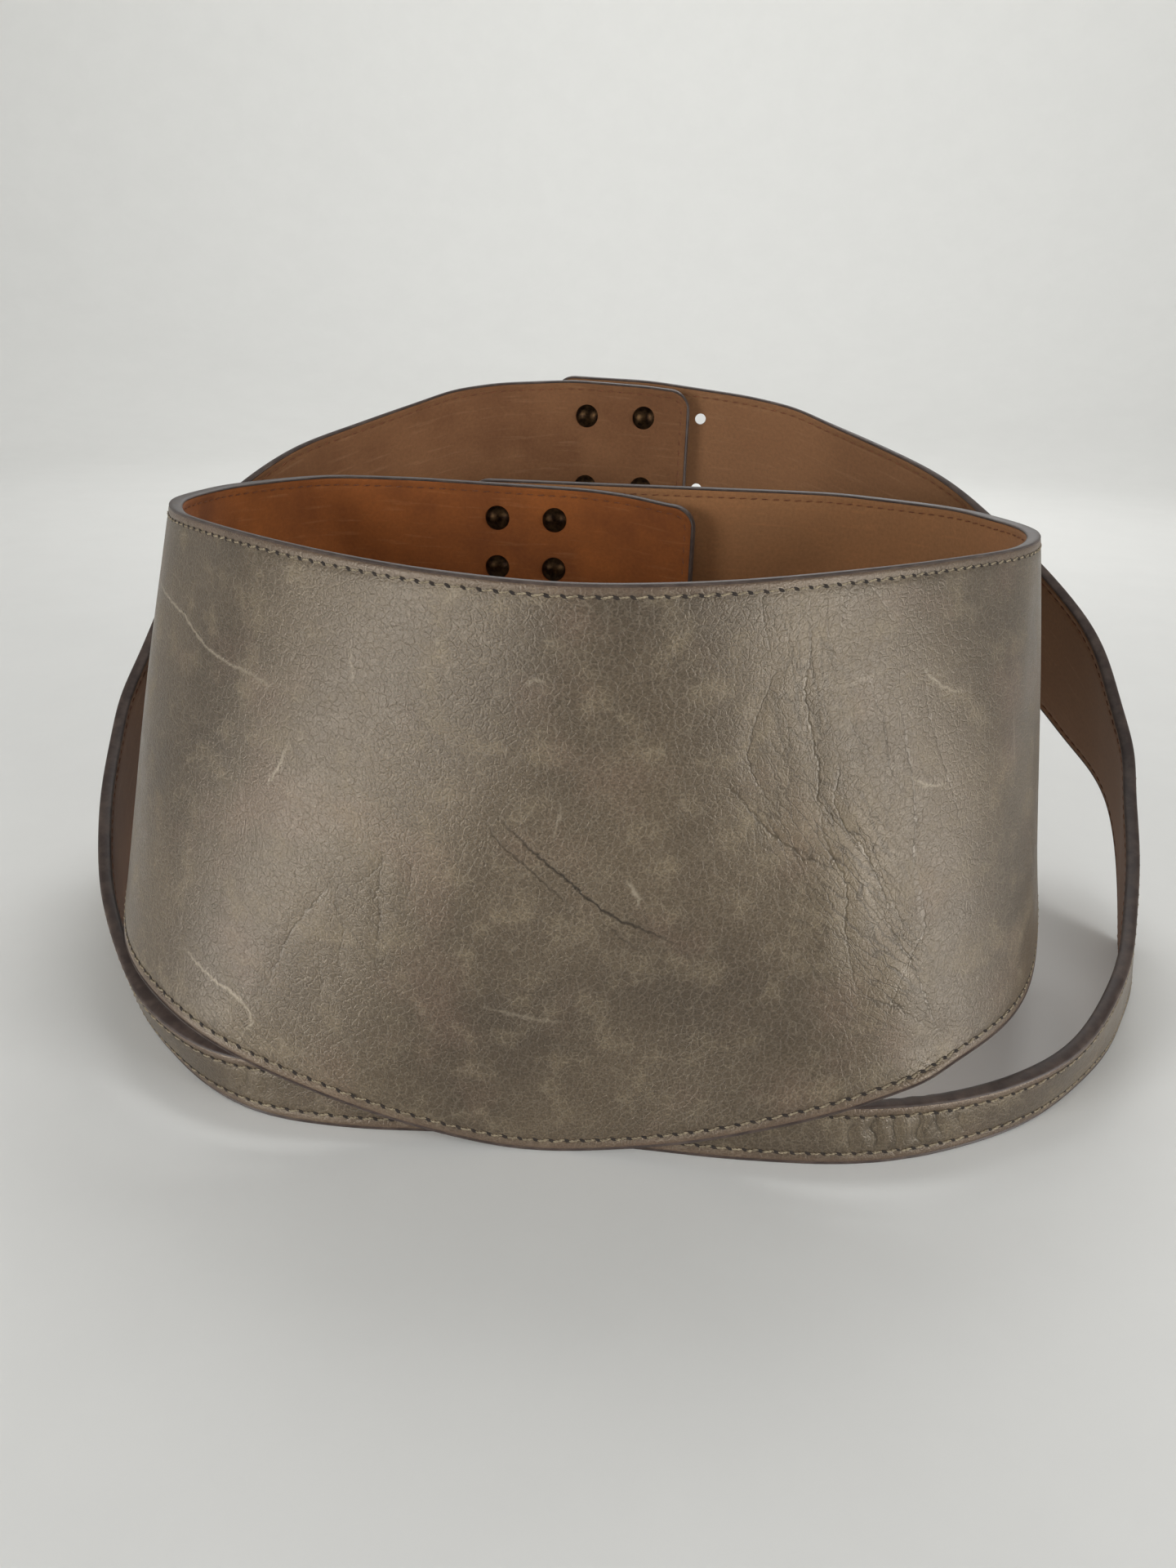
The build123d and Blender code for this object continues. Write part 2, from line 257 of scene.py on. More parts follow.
# ------------------------------------------------------------------------------------- wall
class Wall:
    """Outer face of a band, addressed by millimetres along it and down it from its top edge."""

    def __init__(self, stations: Sequence[Row], sigma: float) -> None:
        """Smooths the stations.

        Args:
            stations: Top and foot points from the tab's tip to the strap's end.
            sigma: Millimetres of averaging along the band.
        """
        points = np.array(stations) + np.tile(ORIGIN, 2)
        self.path = smooth_path(points, 0.5, sigma)
        self.path[:, 5] = np.maximum(self.path[:, 5], TABLE)
        middle = (self.path[:, :3] + self.path[:, 3:]) / 2
        steps = np.linalg.norm(np.diff(middle, axis=0), axis=1)
        self.along = np.concatenate([[0.0], np.cumsum(steps)])
        self.length = float(self.along[-1])
        front = np.where(middle[:, 1] < 0)[0]
        self.middle = float(self.along[front[np.argmin(np.abs(middle[front, 0] - ORIGIN[0]))]])
        self.marks: list[tuple[Mark, Array]] = []
        self.swells: list[tuple[Swell, Array]] = []
        self.crumples: list[tuple[Swell, Array]] = []
        self.calm: list[tuple[float, float]] = []

    def edges(self, along: Array) -> tuple[Array, Array]:
        """Top and foot points at each distance along."""
        values = [np.interp(along, self.along, self.path[:, k]) for k in range(6)]
        return np.stack(values[:3], -1), np.stack(values[3:], -1)

    def width(self, along: Array) -> Array:
        """Width of the band at each distance along, before its ends are rounded."""
        top, foot = self.edges(along)
        return np.linalg.norm(foot - top, axis=-1)

    def inset(self, along: Array) -> Array:
        """How far the rounded ends draw each edge in."""
        t = np.minimum(along, self.length - along)
        u = np.clip(1 - t / CORNER, 0, 1)
        return CORNER * (1 - np.sqrt(1 - u * u)) * CORNER_SQUASH

    def nearest(self, x: float, y: float) -> float:
        """Distance along to the point nearest a place in the belt's own plan."""
        middle = (self.path[:, :2] + self.path[:, 3:5]) / 2 - ORIGIN[:2]
        return float(self.along[np.argmin(np.hypot(middle[:, 0] - x, middle[:, 1] - y))])

    def locate(self, x: float, z: float) -> tuple[float, float]:
        """Place on the front wall.

        Args:
            x: Across the belt, from its own middle.
            z: Height above the table.

        Returns:
            Millimetres along from the middle of the front, and down from the top edge.
        """
        top, foot = self.path[:, :3], self.path[:, 3:]
        share = np.clip((top[:, 2] - z) / (top[:, 2] - foot[:, 2]), -0.2, 1.2)
        point = top + (foot - top) * share[:, None]
        miss = np.abs(point[:, 0] - ORIGIN[0] - x) + np.where(point[:, 1] > -10, 1e3, 0)
        k = int(np.argmin(miss))
        width = float(np.linalg.norm(foot[k] - top[k]))
        return float(self.along[k]) - self.middle, share[k] * width

    def add_marks(self, marks: Sequence[Mark], swells: Sequence[Swell],
                  crumples: Sequence[Swell]) -> None:
        """Places the marks, the soft shapes and the crumpled places on the wall."""
        self.marks = [(m, np.array([self.locate(x, z) for x, z in m.points])) for m in marks]
        self.swells = [(s, np.array(self.locate(s.x, s.z))) for s in swells]
        self.crumples = [(s, np.array(self.locate(s.x, s.z))) for s in crumples]

    def crumpling(self, along: Array, down: Array) -> Array:
        """How far the leather is crumpled into fine wrinkles, from 0 to about 1."""
        mask = np.zeros(along.shape)
        for place, (ca, cw) in self.crumples:
            mask = mask + place.height * np.exp(-((along - self.middle - ca) / place.along) ** 2
                                                - ((down - cw) / place.across) ** 2)
        return np.clip(mask, 0, 1.2)

    def relief(self, along: Array, down: Array) -> Array:
        """Height of the worn wall over the smooth one.

        Args:
            along: Millimetres along the band.
            down: Millimetres down from the top edge.

        Returns:
            Millimetres, outwards.
        """
        a = along - self.middle
        calm = np.ones(np.shape(a))
        for low, high in self.calm:
            gap = np.maximum(low - along, along - high)
            calm = calm * np.clip(gap / CALMING, 0, 1)
        height = sum(rise * np.sin(a / run + down / fall + phase)
                     for rise, run, fall, phase in WAVES)
        for swell, (ca, cw) in self.swells:
            height = height + swell.height * np.exp(-((a - ca) / swell.along) ** 2
                                                    - ((down - cw) / swell.across) ** 2)
        for mark, line in self.marks:
            if mark.valley:
                distance, place = line_distance(line, a, down)
                taper = np.sin(np.pi * np.clip(place, 0.02, 0.98)) ** 0.6
                dip = np.exp(-(distance / mark.reach) ** 2)
                lips = 0.4 * np.exp(-((np.abs(distance) - 2 * mark.reach) / mark.reach) ** 2)
                height = height - VALLEY * mark.valley * taper * (dip - lips)
        return height * calm

    def at(self, along: Array, down: Array) -> Array:
        """Points of the outer face."""
        top, foot = self.edges(along)
        across = foot - top
        width = np.linalg.norm(across, axis=-1)
        share = (down / width)[..., None]
        before, after = self.edges(along - 1.0), self.edges(along + 1.0)
        run = (after[0] - before[0]) * (1 - share) + (after[1] - before[1]) * share
        out = np.cross(across, run)
        out = out / np.linalg.norm(out, axis=-1)[..., None]
        point = top + across * share + out * self.relief(along, down)[..., None]
        point[..., 2] = np.maximum(point[..., 2], TABLE)
        return point

    def frame_at(self, along: Array, down: Array) -> tuple[Array, Array]:
        """Points of the outer face and its outward normals."""
        e = 0.7
        run = self.at(along + e, down) - self.at(along - e, down)
        fall = self.at(along, down + e) - self.at(along, down - e)
        out = np.cross(fall, run)
        return self.at(along, down), out / np.linalg.norm(out, axis=-1)[..., None]

    def field(self, kind: MarkKind, along: Array, down: Array) -> Array:
        """Distance to the nearest mark of a kind, and its strength there, for the finish.

        Args:
            kind: Which marks.
            along: Millimetres along the band.
            down: Millimetres down from the top edge.

        Returns:
            Three numbers a point: distance, strength and nothing.
        """
        best = np.full(along.shape, 50.0)
        force = np.zeros(along.shape)
        for mark, line in self.marks:
            if mark.kind is kind:
                distance, place = line_distance(line, along - self.middle, down)
                taper = np.sin(np.pi * np.clip(place, 0, 1)) ** 0.5 * mark.strength
                nearer = np.abs(distance) < np.abs(best)
                best = np.where(nearer, distance, best)
                force = np.where(nearer, taper, force)
        return np.stack([best, force, np.zeros(along.shape)], -1)


# ----------------------------------------------------------------------------------- meshes
def linear(hex_colour: str) -> tuple[float, float, float, float]:
    """A hex sRGB colour as linear red, green, blue and alpha."""
    values = [int(hex_colour[k:k + 2], 16) / 255 for k in (1, 3, 5)]
    turned = [v / 12.92 if v <= 0.04045 else ((v + 0.055) / 1.055) ** 2.4 for v in values]
    return (*turned, 1.0)


def make_object(name: str, points: Array, faces: Sequence[Sequence[int]],
                material: bpy.types.Material, uv: Array | None = None,
                attributes: dict[str, Array] | None = None, tidy: bool = False) -> bpy.types.Object:
    """Mesh object from points in millimetres.

    Args:
        name: Name of the object and of its mesh.
        points: One line a vertex.
        faces: Vertex numbers of each face.
        material: Its finish.
        uv: Millimetres along and down, one line a vertex.
        attributes: Numbers or vectors, one a vertex, by name.
        tidy: Whether the faces still need turning outwards.

    Returns:
        The object, at the origin.
    """
    mesh = bpy.data.meshes.new(name)
    mesh.from_pydata((points * MM).tolist(), [], [list(map(int, f)) for f in faces])
    if uv is not None:
        layer = mesh.uv_layers.new(name="strap")
        corner = np.zeros(len(mesh.loops), np.int32)
        mesh.loops.foreach_get("vertex_index", corner)
        layer.data.foreach_set("uv", (uv[corner] * MM).astype(np.float32).ravel())
    for key, values in (attributes or {}).items():
        vector = values.ndim == 2
        made = mesh.attributes.new(key, "FLOAT_VECTOR" if vector else "FLOAT", "POINT")
        made.data.foreach_set("vector" if vector else "value", values.astype(np.float32).ravel())
    if tidy:
        work = bmesh.new()
        work.from_mesh(mesh)
        bmesh.ops.recalc_face_normals(work, faces=work.faces)
        work.to_mesh(mesh)
        work.free()
    mesh.materials.append(material)
    mesh.shade_smooth()
    mesh.set_sharp_from_angle(angle=SHARP)
    made_object = bpy.data.objects.new(name, mesh)
    bpy.context.scene.collection.objects.link(made_object)
    return made_object


def grid_quads(columns: int, rows: int, start: int) -> Array:
    """Quads of a grid whose columns run along a band and rows run down it, facing outwards."""
    a = (np.arange(columns - 1)[:, None] * rows + np.arange(rows - 1)[None, :]).ravel() + start
    return np.stack([a, a + 1, a + rows + 1, a + rows], axis=1)


def zipped(first: Sequence[int], first_at: Array, second: Sequence[int],
           second_at: Array) -> list[list[int]]:
    """Triangles that close the strip between two rows of points.

    Args:
        first: Vertices of one row.
        first_at: Where they are along it.
        second: Vertices of the other row.
        second_at: Where those are.

    Returns:
        The triangles.
    """
    faces, i, k = [], 0, 0
    while i < len(first) - 1 or k < len(second) - 1:
        step_first = k == len(second) - 1 or (
            i < len(first) - 1 and first_at[i + 1] <= second_at[k + 1])
        if step_first:
            faces.append([first[i], second[k], first[i + 1]])
            i += 1
        else:
            faces.append([first[i], second[k], second[k + 1]])
            k += 1
    return faces


def shell_faces(columns: int, fine: int, coarse: int, fine_at: Array, coarse_at: Array,
                outwards: bool) -> list[list[int]]:
    """Closed sheet between a fine grid and a coarse one that share their columns.

    Args:
        columns: Number of columns.
        fine: Rows of the grid that shows.
        coarse: Rows of the hidden grid, whose vertices come after.
        fine_at: Share down the wall of each fine row.
        coarse_at: Share down the wall of each coarse row.
        outwards: Whether the fine grid faces away from the wearer.

    Returns:
        The faces.
    """
    base = columns * fine
    faces = grid_quads(columns, fine, 0).tolist()
    faces += grid_quads(columns, coarse, base)[:, ::-1].tolist()
    for i in range(columns - 1):
        o, n = i * fine, (i + 1) * fine
        p, q = base + i * coarse, base + (i + 1) * coarse
        faces.append([o, n, q, p])
        faces.append([o + fine - 1, p + coarse - 1, q + coarse - 1, n + fine - 1])
    for column, turned in ((0, False), (columns - 1, True)):
        first = list(range(column * fine, (column + 1) * fine))
        second = list(range(base + column * coarse, base + (column + 1) * coarse))
        cap = zipped(first, fine_at, second, coarse_at)
        faces += [f[::-1] for f in cap] if turned else cap
    return faces if outwards else [f[::-1] for f in faces]


def tube(centres: Array, across: Array, out: Array, profile: Array,
         start: int) -> tuple[Array, list[list[int]]]:
    """Closed bar of one profile along a path.

    Args:
        centres: Points of the path.
        across: Unit direction of the profile's first coordinate at each point.
        out: Unit direction of the second.
        profile: Points of the profile.
        start: Number of the first vertex.

    Returns:
        Points and faces.
    """
    points = (centres[:, None] + across[:, None] * profile[None, :, :1]
              + out[:, None] * profile[None, :, 1:]).reshape(-1, 3)
    points[:, 2] = np.maximum(points[:, 2], TABLE / 2)
    count, sides = len(centres), len(profile)
    faces = []
    for i in range(count - 1):
        for k in range(sides):
            n = (k + 1) % sides
            faces.append([start + i * sides + k, start + (i + 1) * sides + k,
                          start + (i + 1) * sides + n, start + i * sides + n])
    faces.append([start + k for k in range(sides)])
    faces.append([start + (count - 1) * sides + k for k in reversed(range(sides))])
    return points, faces


def applied(target: bpy.types.Object) -> bpy.types.Object:
    """Bakes an object's modifiers into a plain mesh and takes them off."""
    graph = bpy.context.evaluated_depsgraph_get()
    mesh = bpy.data.meshes.new_from_object(target.evaluated_get(graph), depsgraph=graph)
    target.modifiers.clear()
    mesh.name = target.name
    target.data = mesh
    return target


# ----------------------------------------------------------------------------------- finishes
def feed(node: bpy.types.Node, links: dict[Any, Any]) -> None:
    """Sets a node's inputs.

    Args:
        node: Which node.
        links: Input name or number to a value, or to what feeds it: a socket, or a node, whose
            first live output is taken.
    """
    for key, value in links.items():
        if isinstance(value, bpy.types.Node):
            value = next(socket for socket in value.outputs if socket.enabled)
        if isinstance(value, bpy.types.NodeSocket):
            node.id_data.links.new(value, node.inputs[key])
        else:
            node.inputs[key].default_value = value


def add_node(tree: bpy.types.NodeTree, kind: str, links: dict[Any, Any] | None = None,
             **settings: Any) -> bpy.types.Node:
    """Adds a node with its settings and inputs.

    Args:
        tree: Where it goes.
        kind: The node's type name.
        links: Its inputs, as feed takes them.
        settings: The node's own properties.

    Returns:
        The node.
    """
    node = tree.nodes.new(kind)
    for name, value in settings.items():
        setattr(node, name, value)
    feed(node, links or {})
    return node


def blank_material(name: str, **constants: Any) -> tuple[bpy.types.Material, bpy.types.Node, Adder]:
    """Material with one shader, whose constant sockets are set.

    Args:
        name: Name of the material.
        constants: Socket values, with spaces as underscores.

    Returns:
        The material, its shader node, and add_node for its tree.
    """
    material = bpy.data.materials.new(name)
    material.use_nodes = True
    material.node_tree.nodes.clear()
    add = partial(add_node, material.node_tree)
    shader = add("ShaderNodeBsdfPrincipled",
                 {key.replace("_", " "): value for key, value in constants.items()})
    add("ShaderNodeOutputMaterial", {"Surface": shader})
    return material, shader, add


@dataclass(frozen=True)
class GreigeLeather:
    """Distressed full-grain pull-up cowhide, drum dyed and waxed.

    The wax leaves a soft broad shine, the grain shows as small pebbles in a net of paler veins,
    and rubs and scratches stay pale where the wax is disturbed.
    """
    deep: str = "#40372d"
    body: str = "#54493b"
    rubbed: str = "#85775f"
    blush: str = "#685347"
    vein: str = "#857b6b"
    pore: str = "#40362a"
    # Dark of nicks and cracked finish, also laid along folds and wrinkles as painted shade in their
    # grooves.
    crack_and_crease_shade: str = "#1f1914"
    grain: float = 2.0          # cell of the net of veins, millimetres
    grit: float = 0.55          # fine grain, millimetres
    roughness: float = 0.34
    coarse_bump: float = 0.13   # millimetres
    fine_bump: float = 0.2      # millimetres

    def material(self) -> bpy.types.Material:
        """Builds the finish."""
        material, shader, add = blank_material("greige_full_grain_leather", IOR=1.5,
                                               Specular_IOR_Level=0.74,
                                               Specular_Tint=linear("#ece0cf"))
        uv = add("ShaderNodeUVMap", uv_map="strap")
        mm = add("ShaderNodeVectorMath", {0: uv, "Scale": 1 / MM}, operation="SCALE")
        # The grain's own drift, so that no row of pebbles runs straight.
        drift = add("ShaderNodeTexNoise", {"Vector": mm, "Scale": 0.3, "Detail": 3.0})
        centred = add("ShaderNodeVectorMath", {0: drift.outputs["Color"], 1: (0.5, 0.5, 0.5)},
                      operation="SUBTRACT")
        drifted = add("ShaderNodeVectorMath", {0: centred, 1: (2.6, 2.6, 0.0), 2: mm},
                      operation="MULTIPLY_ADD")
        pebble = add("ShaderNodeTexVoronoi", {"Vector": drifted, "Scale": 1 / self.grain},
                     feature="DISTANCE_TO_EDGE")
        broad = add("ShaderNodeTexNoise",
                    {"Vector": mm, "Scale": 1 / 42, "Detail": 4.0, "Roughness": 0.55})
        patch = add("ShaderNodeTexNoise",
                    {"Vector": mm, "Scale": 1 / 11, "Detail": 5.0, "Roughness": 0.6})
        grit = add("ShaderNodeTexNoise",
                   {"Vector": mm, "Scale": 1 / self.grit, "Detail": 3.0, "Roughness": 0.7})
        colour = self._dyed(add, mm, broad, patch, grit)
        colour = self._grained(add, colour, pebble, patch)
        height = add("ShaderNodeMapRange", {"Value": pebble, "From Max": 0.12})
        colour, height = self._marked(add, colour, height, mm, grit)
        colour, height = self._crumpled(add, colour, height, drifted)
        rim = add("ShaderNodeAttribute", attribute_name="rim").outputs["Fac"]
        burnish = add("ShaderNodeMapRange", {"Value": rim, "From Min": 0.3, "From Max": 3.4,
                                             "To Min": 0.42, "To Max": 0.0})
        colour = add("ShaderNodeMix", {0: burnish, 6: colour, 7: linear(self.blush)},
                     data_type="RGBA")
        rough = add("ShaderNodeMapRange", {"Value": patch, "From Min": 0.3, "From Max": 0.7,
                                           "To Min": self.roughness - 0.07,
                                           "To Max": self.roughness + 0.09})
        coarse = add("ShaderNodeBump",
                     {"Height": height, "Strength": 0.4, "Distance": self.coarse_bump * MM})
        fine = add("ShaderNodeBump", {"Height": grit, "Strength": 0.75,
                                      "Distance": self.fine_bump * MM, "Normal": coarse})
        feed(shader, {"Base Color": colour, "Roughness": rough, "Normal": fine})
        return material

    def _dyed(self, add: Adder, mm: bpy.types.Node, broad: bpy.types.Node, patch: bpy.types.Node,
              grit: bpy.types.Node) -> bpy.types.Node:
        """Drum dye in cloudy tones, rubbed and blushed in places, flecked by the grit."""
        tone = add("ShaderNodeMapRange", {"Value": broad, "From Min": 0.32, "From Max": 0.68})
        base = add("ShaderNodeMix", {0: tone, 6: linear(self.deep), 7: linear(self.body)},
                   data_type="RGBA")
        rub = add("ShaderNodeMapRange",
                  {"Value": patch, "From Min": 0.52, "From Max": 0.8, "To Max": 0.4})
        rubbed = add("ShaderNodeMix", {0: rub, 6: base, 7: linear(self.rubbed)}, data_type="RGBA")
        warm = add("ShaderNodeTexNoise", {"Vector": mm, "Scale": 1 / 27, "Detail": 3.0, "W": 4.0},
                   noise_dimensions="4D")
        warmth = add("ShaderNodeMapRange",
                     {"Value": warm, "From Min": 0.54, "From Max": 0.74, "To Max": 0.4})
        blushed = add("ShaderNodeMix", {0: warmth, 6: rubbed, 7: linear(self.blush)},
                      data_type="RGBA")
        fleck = add("ShaderNodeMapRange", {"Value": grit, "From Min": 0.38, "From Max": 0.62,
                                           "To Min": 0.58, "To Max": 1.44})
        return add("ShaderNodeVectorMath", {0: blushed, "Scale": fleck}, operation="SCALE")

    def _grained(self, add: Adder, colour: bpy.types.Node, pebble: bpy.types.Node,
                 patch: bpy.types.Node) -> bpy.types.Node:
        """Pebbles in a net of veins."""
        # The crown of each pebble is a touch darker, where the dye sat longest.
        crown = add("ShaderNodeMapRange",
                    {"Value": pebble, "From Min": 0.12, "From Max": 0.42, "To Max": 0.24},
                    interpolation_type="SMOOTHSTEP")
        crowned = add("ShaderNodeMix", {0: crown, 6: colour, 7: linear(self.pore)},
                      data_type="RGBA")
        # Veins: the valleys between pebbles, paler where the wax has gone, and broken up.
        vein = add("ShaderNodeMapRange",
                   {"Value": pebble, "From Max": 0.07, "To Min": 1.0, "To Max": 0.0})
        parts = add("ShaderNodeMapRange", {"Value": patch, "From Min": 0.36, "From Max": 0.6,
                                           "To Min": 0.1, "To Max": 0.26})
        share = add("ShaderNodeMath", {0: vein, 1: parts}, operation="MULTIPLY")
        return add("ShaderNodeMix", {0: share, 6: crowned, 7: linear(self.vein)},
                   data_type="RGBA")

    def _marked(self, add: Adder, colour: bpy.types.Node, height: bpy.types.Node,
                mm: bpy.types.Node, grit: bpy.types.Node) -> tuple[bpy.types.Node, bpy.types.Node]:
        """Cracks and scratches, which waver about the distances stored on the mesh; the dark along a
        fold is partly its cracked finish, partly painted shade in the crease.
        """
        shake = add("ShaderNodeTexNoise", {"Vector": mm, "Scale": 0.45, "Detail": 3.0})
        wander = add("ShaderNodeMapRange", {"Value": shake, "To Min": -1.1, "To Max": 1.1})
        for kind, width, shade in ((MarkKind.FOLD, 0.56, self.crack_and_crease_shade),
                                   (MarkKind.FOLD_BESIDE, 0.48, self.crack_and_crease_shade),
                                   (MarkKind.SCRATCH, 0.75, self.vein)):
            data = add("ShaderNodeAttribute", attribute_name=kind.value).outputs["Vector"]
            split = add("ShaderNodeSeparateXYZ", {0: data}).outputs
            moved = add("ShaderNodeMath", {0: split["X"], 1: wander})
            away = add("ShaderNodeMath", {0: moved}, operation="ABSOLUTE")
            line = add("ShaderNodeMapRange",
                       {"Value": away, "From Max": width, "To Min": 1.0, "To Max": 0.0},
                       interpolation_type="SMOOTHSTEP")
            broken = add("ShaderNodeMapRange", {"Value": grit, "From Min": 0.3, "From Max": 0.6,
                                                "To Min": 0.7, "To Max": 1.2})
            force = add("ShaderNodeMath", {0: line, 1: split["Y"]}, operation="MULTIPLY")
            share = add("ShaderNodeMath", {0: force, 1: broken}, operation="MULTIPLY",
                        use_clamp=True)
            colour = add("ShaderNodeMix", {0: share, 6: colour, 7: linear(shade)},
                         data_type="RGBA")
            if kind is not MarkKind.SCRATCH:
                height = add("ShaderNodeMath", {0: share, 1: -2.6, 2: height},
                             operation="MULTIPLY_ADD")
        return colour, height

    def _crumpled(self, add: Adder, colour: bpy.types.Node, height: bpy.types.Node,
                  drifted: bpy.types.Node) -> tuple[bpy.types.Node, bpy.types.Node]:
        """Crumpled places: a net of stretched wrinkles that lean over as they run down, their lines
        darkened as painted shade in the grooves.
        """
        crumple = add("ShaderNodeAttribute", attribute_name="crumple").outputs["Fac"]
        placed = add("ShaderNodeSeparateXYZ", {0: drifted}).outputs
        lean = add("ShaderNodeMath", {0: placed["Y"], 1: placed["Y"]}, operation="MULTIPLY")
        leant = add("ShaderNodeMath", {0: lean, 1: -0.0055, 2: placed["X"]},
                    operation="MULTIPLY_ADD")
        flow = add("ShaderNodeCombineXYZ", {"X": leant, "Y": placed["Y"]})
        stretched = add("ShaderNodeVectorMath", {0: flow, 1: (0.36, 0.08, 1.0)},
                        operation="MULTIPLY")
        net = add("ShaderNodeTexVoronoi", {"Vector": stretched, "Scale": 1.0},
                  feature="DISTANCE_TO_EDGE")
        thin = add("ShaderNodeMapRange",
                   {"Value": net, "From Max": 0.085, "To Min": 1.0, "To Max": 0.0},
                   interpolation_type="SMOOTHSTEP")
        wrinkle = add("ShaderNodeMath", {0: thin, 1: crumple}, operation="MULTIPLY")
        paler = add("ShaderNodeMath", {0: crumple, 1: 0.22}, operation="MULTIPLY", use_clamp=True)
        colour = add("ShaderNodeMix", {0: paler, 6: colour, 7: linear(self.rubbed)},
                     data_type="RGBA")
        # Painted shade: the wrinkle lines are darkened where their grooves lie.
        share = add("ShaderNodeMath", {0: wrinkle, 1: 0.7}, operation="MULTIPLY", use_clamp=True)
        colour = add("ShaderNodeMix", {0: share, 6: colour, 7: linear(self.crack_and_crease_shade)},
                     data_type="RGBA")
        height = add("ShaderNodeMath", {0: wrinkle, 1: -0.9, 2: height},
                     operation="MULTIPLY_ADD")
        return colour, height


@dataclass(frozen=True)
class TanLining:
    """Vegetable-tanned lining leather, buffed to a short nap.

    The nap kills the shine, and handling leaves cloudy darker places and fine rubbed lines.
    From a given distance along the band the tone is painted paler: painted light on the right-hand
    part of the inside, where light falls.
    """
    name: str
    dark: str
    body: str
    rubbed: str
    # Paler tone for the lit right-hand part of the inside: painted light.
    painted_lit_tone: str
    painted_light_span: tuple[float, float]     # metres along the band between which the painted light comes in
    nap_bump: float = 0.1           # millimetres

    def material(self) -> bpy.types.Material:
        """Builds the finish."""
        material, shader, add = blank_material(self.name, IOR=1.45, Roughness=0.8,
                                               Specular_IOR_Level=0.22, Sheen_Weight=0.06,
                                               Sheen_Roughness=0.6)
        uv = add("ShaderNodeUVMap", uv_map="strap")
        mm = add("ShaderNodeVectorMath", {0: uv, "Scale": 1 / MM}, operation="SCALE")
        cloud = add("ShaderNodeTexNoise",
                    {"Vector": mm, "Scale": 1 / 34, "Detail": 5.0, "Roughness": 0.55})
        nap = add("ShaderNodeTexNoise",
                  {"Vector": mm, "Scale": 0.8, "Detail": 5.0, "Roughness": 0.7})
        tone = add("ShaderNodeMapRange", {"Value": cloud, "From Min": 0.34, "From Max": 0.66})
        # Painted light: past a distance along the band the tone turns paler, for the light falling
        # on the right-hand part of the inside.
        along = add("ShaderNodeSeparateXYZ", {0: uv}).outputs["X"]
        painted_light_share = add("ShaderNodeMapRange", {"Value": along, "From Min": self.painted_light_span[0],
                                          "From Max": self.painted_light_span[1], "To Max": 0.7},
                   interpolation_type="SMOOTHSTEP")
        clouded = add("ShaderNodeMix", {0: tone, 6: linear(self.dark), 7: linear(self.body)},
                      data_type="RGBA")
        base = add("ShaderNodeMix", {0: painted_light_share, 6: clouded, 7: linear(self.painted_lit_tone)},
                   data_type="RGBA")
        stretched = add("ShaderNodeVectorMath", {0: mm, 1: (0.05, 0.6, 1.0)},
                        operation="MULTIPLY")
        streak = add("ShaderNodeTexNoise", {"Vector": stretched, "Scale": 1.0, "Detail": 3.0})
        line = add("ShaderNodeMapRange",
                   {"Value": streak, "From Min": 0.58, "From Max": 0.75, "To Max": 0.3})
        rubbed = add("ShaderNodeMix", {0: line, 6: base, 7: linear(self.rubbed)},
                     data_type="RGBA")
        fleck = add("ShaderNodeMapRange", {"Value": nap, "From Min": 0.3, "From Max": 0.7,
                                           "To Min": 0.86, "To Max": 1.12})
        flecked = add("ShaderNodeVectorMath", {0: rubbed, "Scale": fleck}, operation="SCALE")
        bump = add("ShaderNodeBump",
                   {"Height": nap, "Strength": 0.4, "Distance": self.nap_bump * MM})
        feed(shader, {"Base Color": flecked, "Normal": bump})
        return material


@dataclass(frozen=True)
class PlainFinish:
    """Simple finish whose tone drifts a little between two colours."""
    name: str
    body: str
    marked: str
    roughness: float
    grain: float                                # size of the drift, millimetres
    metallic: float = 0.0
    relief: float = 0.05                        # bump, millimetres
    push: float = 0.4                           # strength of the bump
    detail: float = 0.65                        # roughness of the drift itself
    share: tuple[float, float] = (0.38, 0.66)   # drift at which each colour is reached
    duller: float = 0.12                        # how far the roughness may rise

    def material(self, **constants: Any) -> bpy.types.Material:
        """Builds the finish, with more constant sockets of its shader where it needs them."""
        material, shader, add = blank_material(self.name, Metallic=self.metallic, **constants)
        place = add("ShaderNodeTexCoord").outputs["Object"]
        drift = add("ShaderNodeTexNoise", {"Vector": place, "Scale": 1 / (self.grain * MM),
                                           "Detail": 4.0, "Roughness": self.detail})
        share = add("ShaderNodeMapRange", {"Value": drift, "From Min": self.share[0],
                                           "From Max": self.share[1]})
        colour = add("ShaderNodeMix", {0: share, 6: linear(self.body), 7: linear(self.marked)},
                     data_type="RGBA")
        rough = add("ShaderNodeMapRange", {"Value": drift, "To Min": self.roughness - 0.1,
                                           "To Max": self.roughness + self.duller})
        bump = add("ShaderNodeBump", {"Height": drift, "Strength": self.push,
                                      "Distance": self.relief * MM})
        feed(shader, {"Base Color": colour, "Roughness": rough, "Normal": bump})
        return material


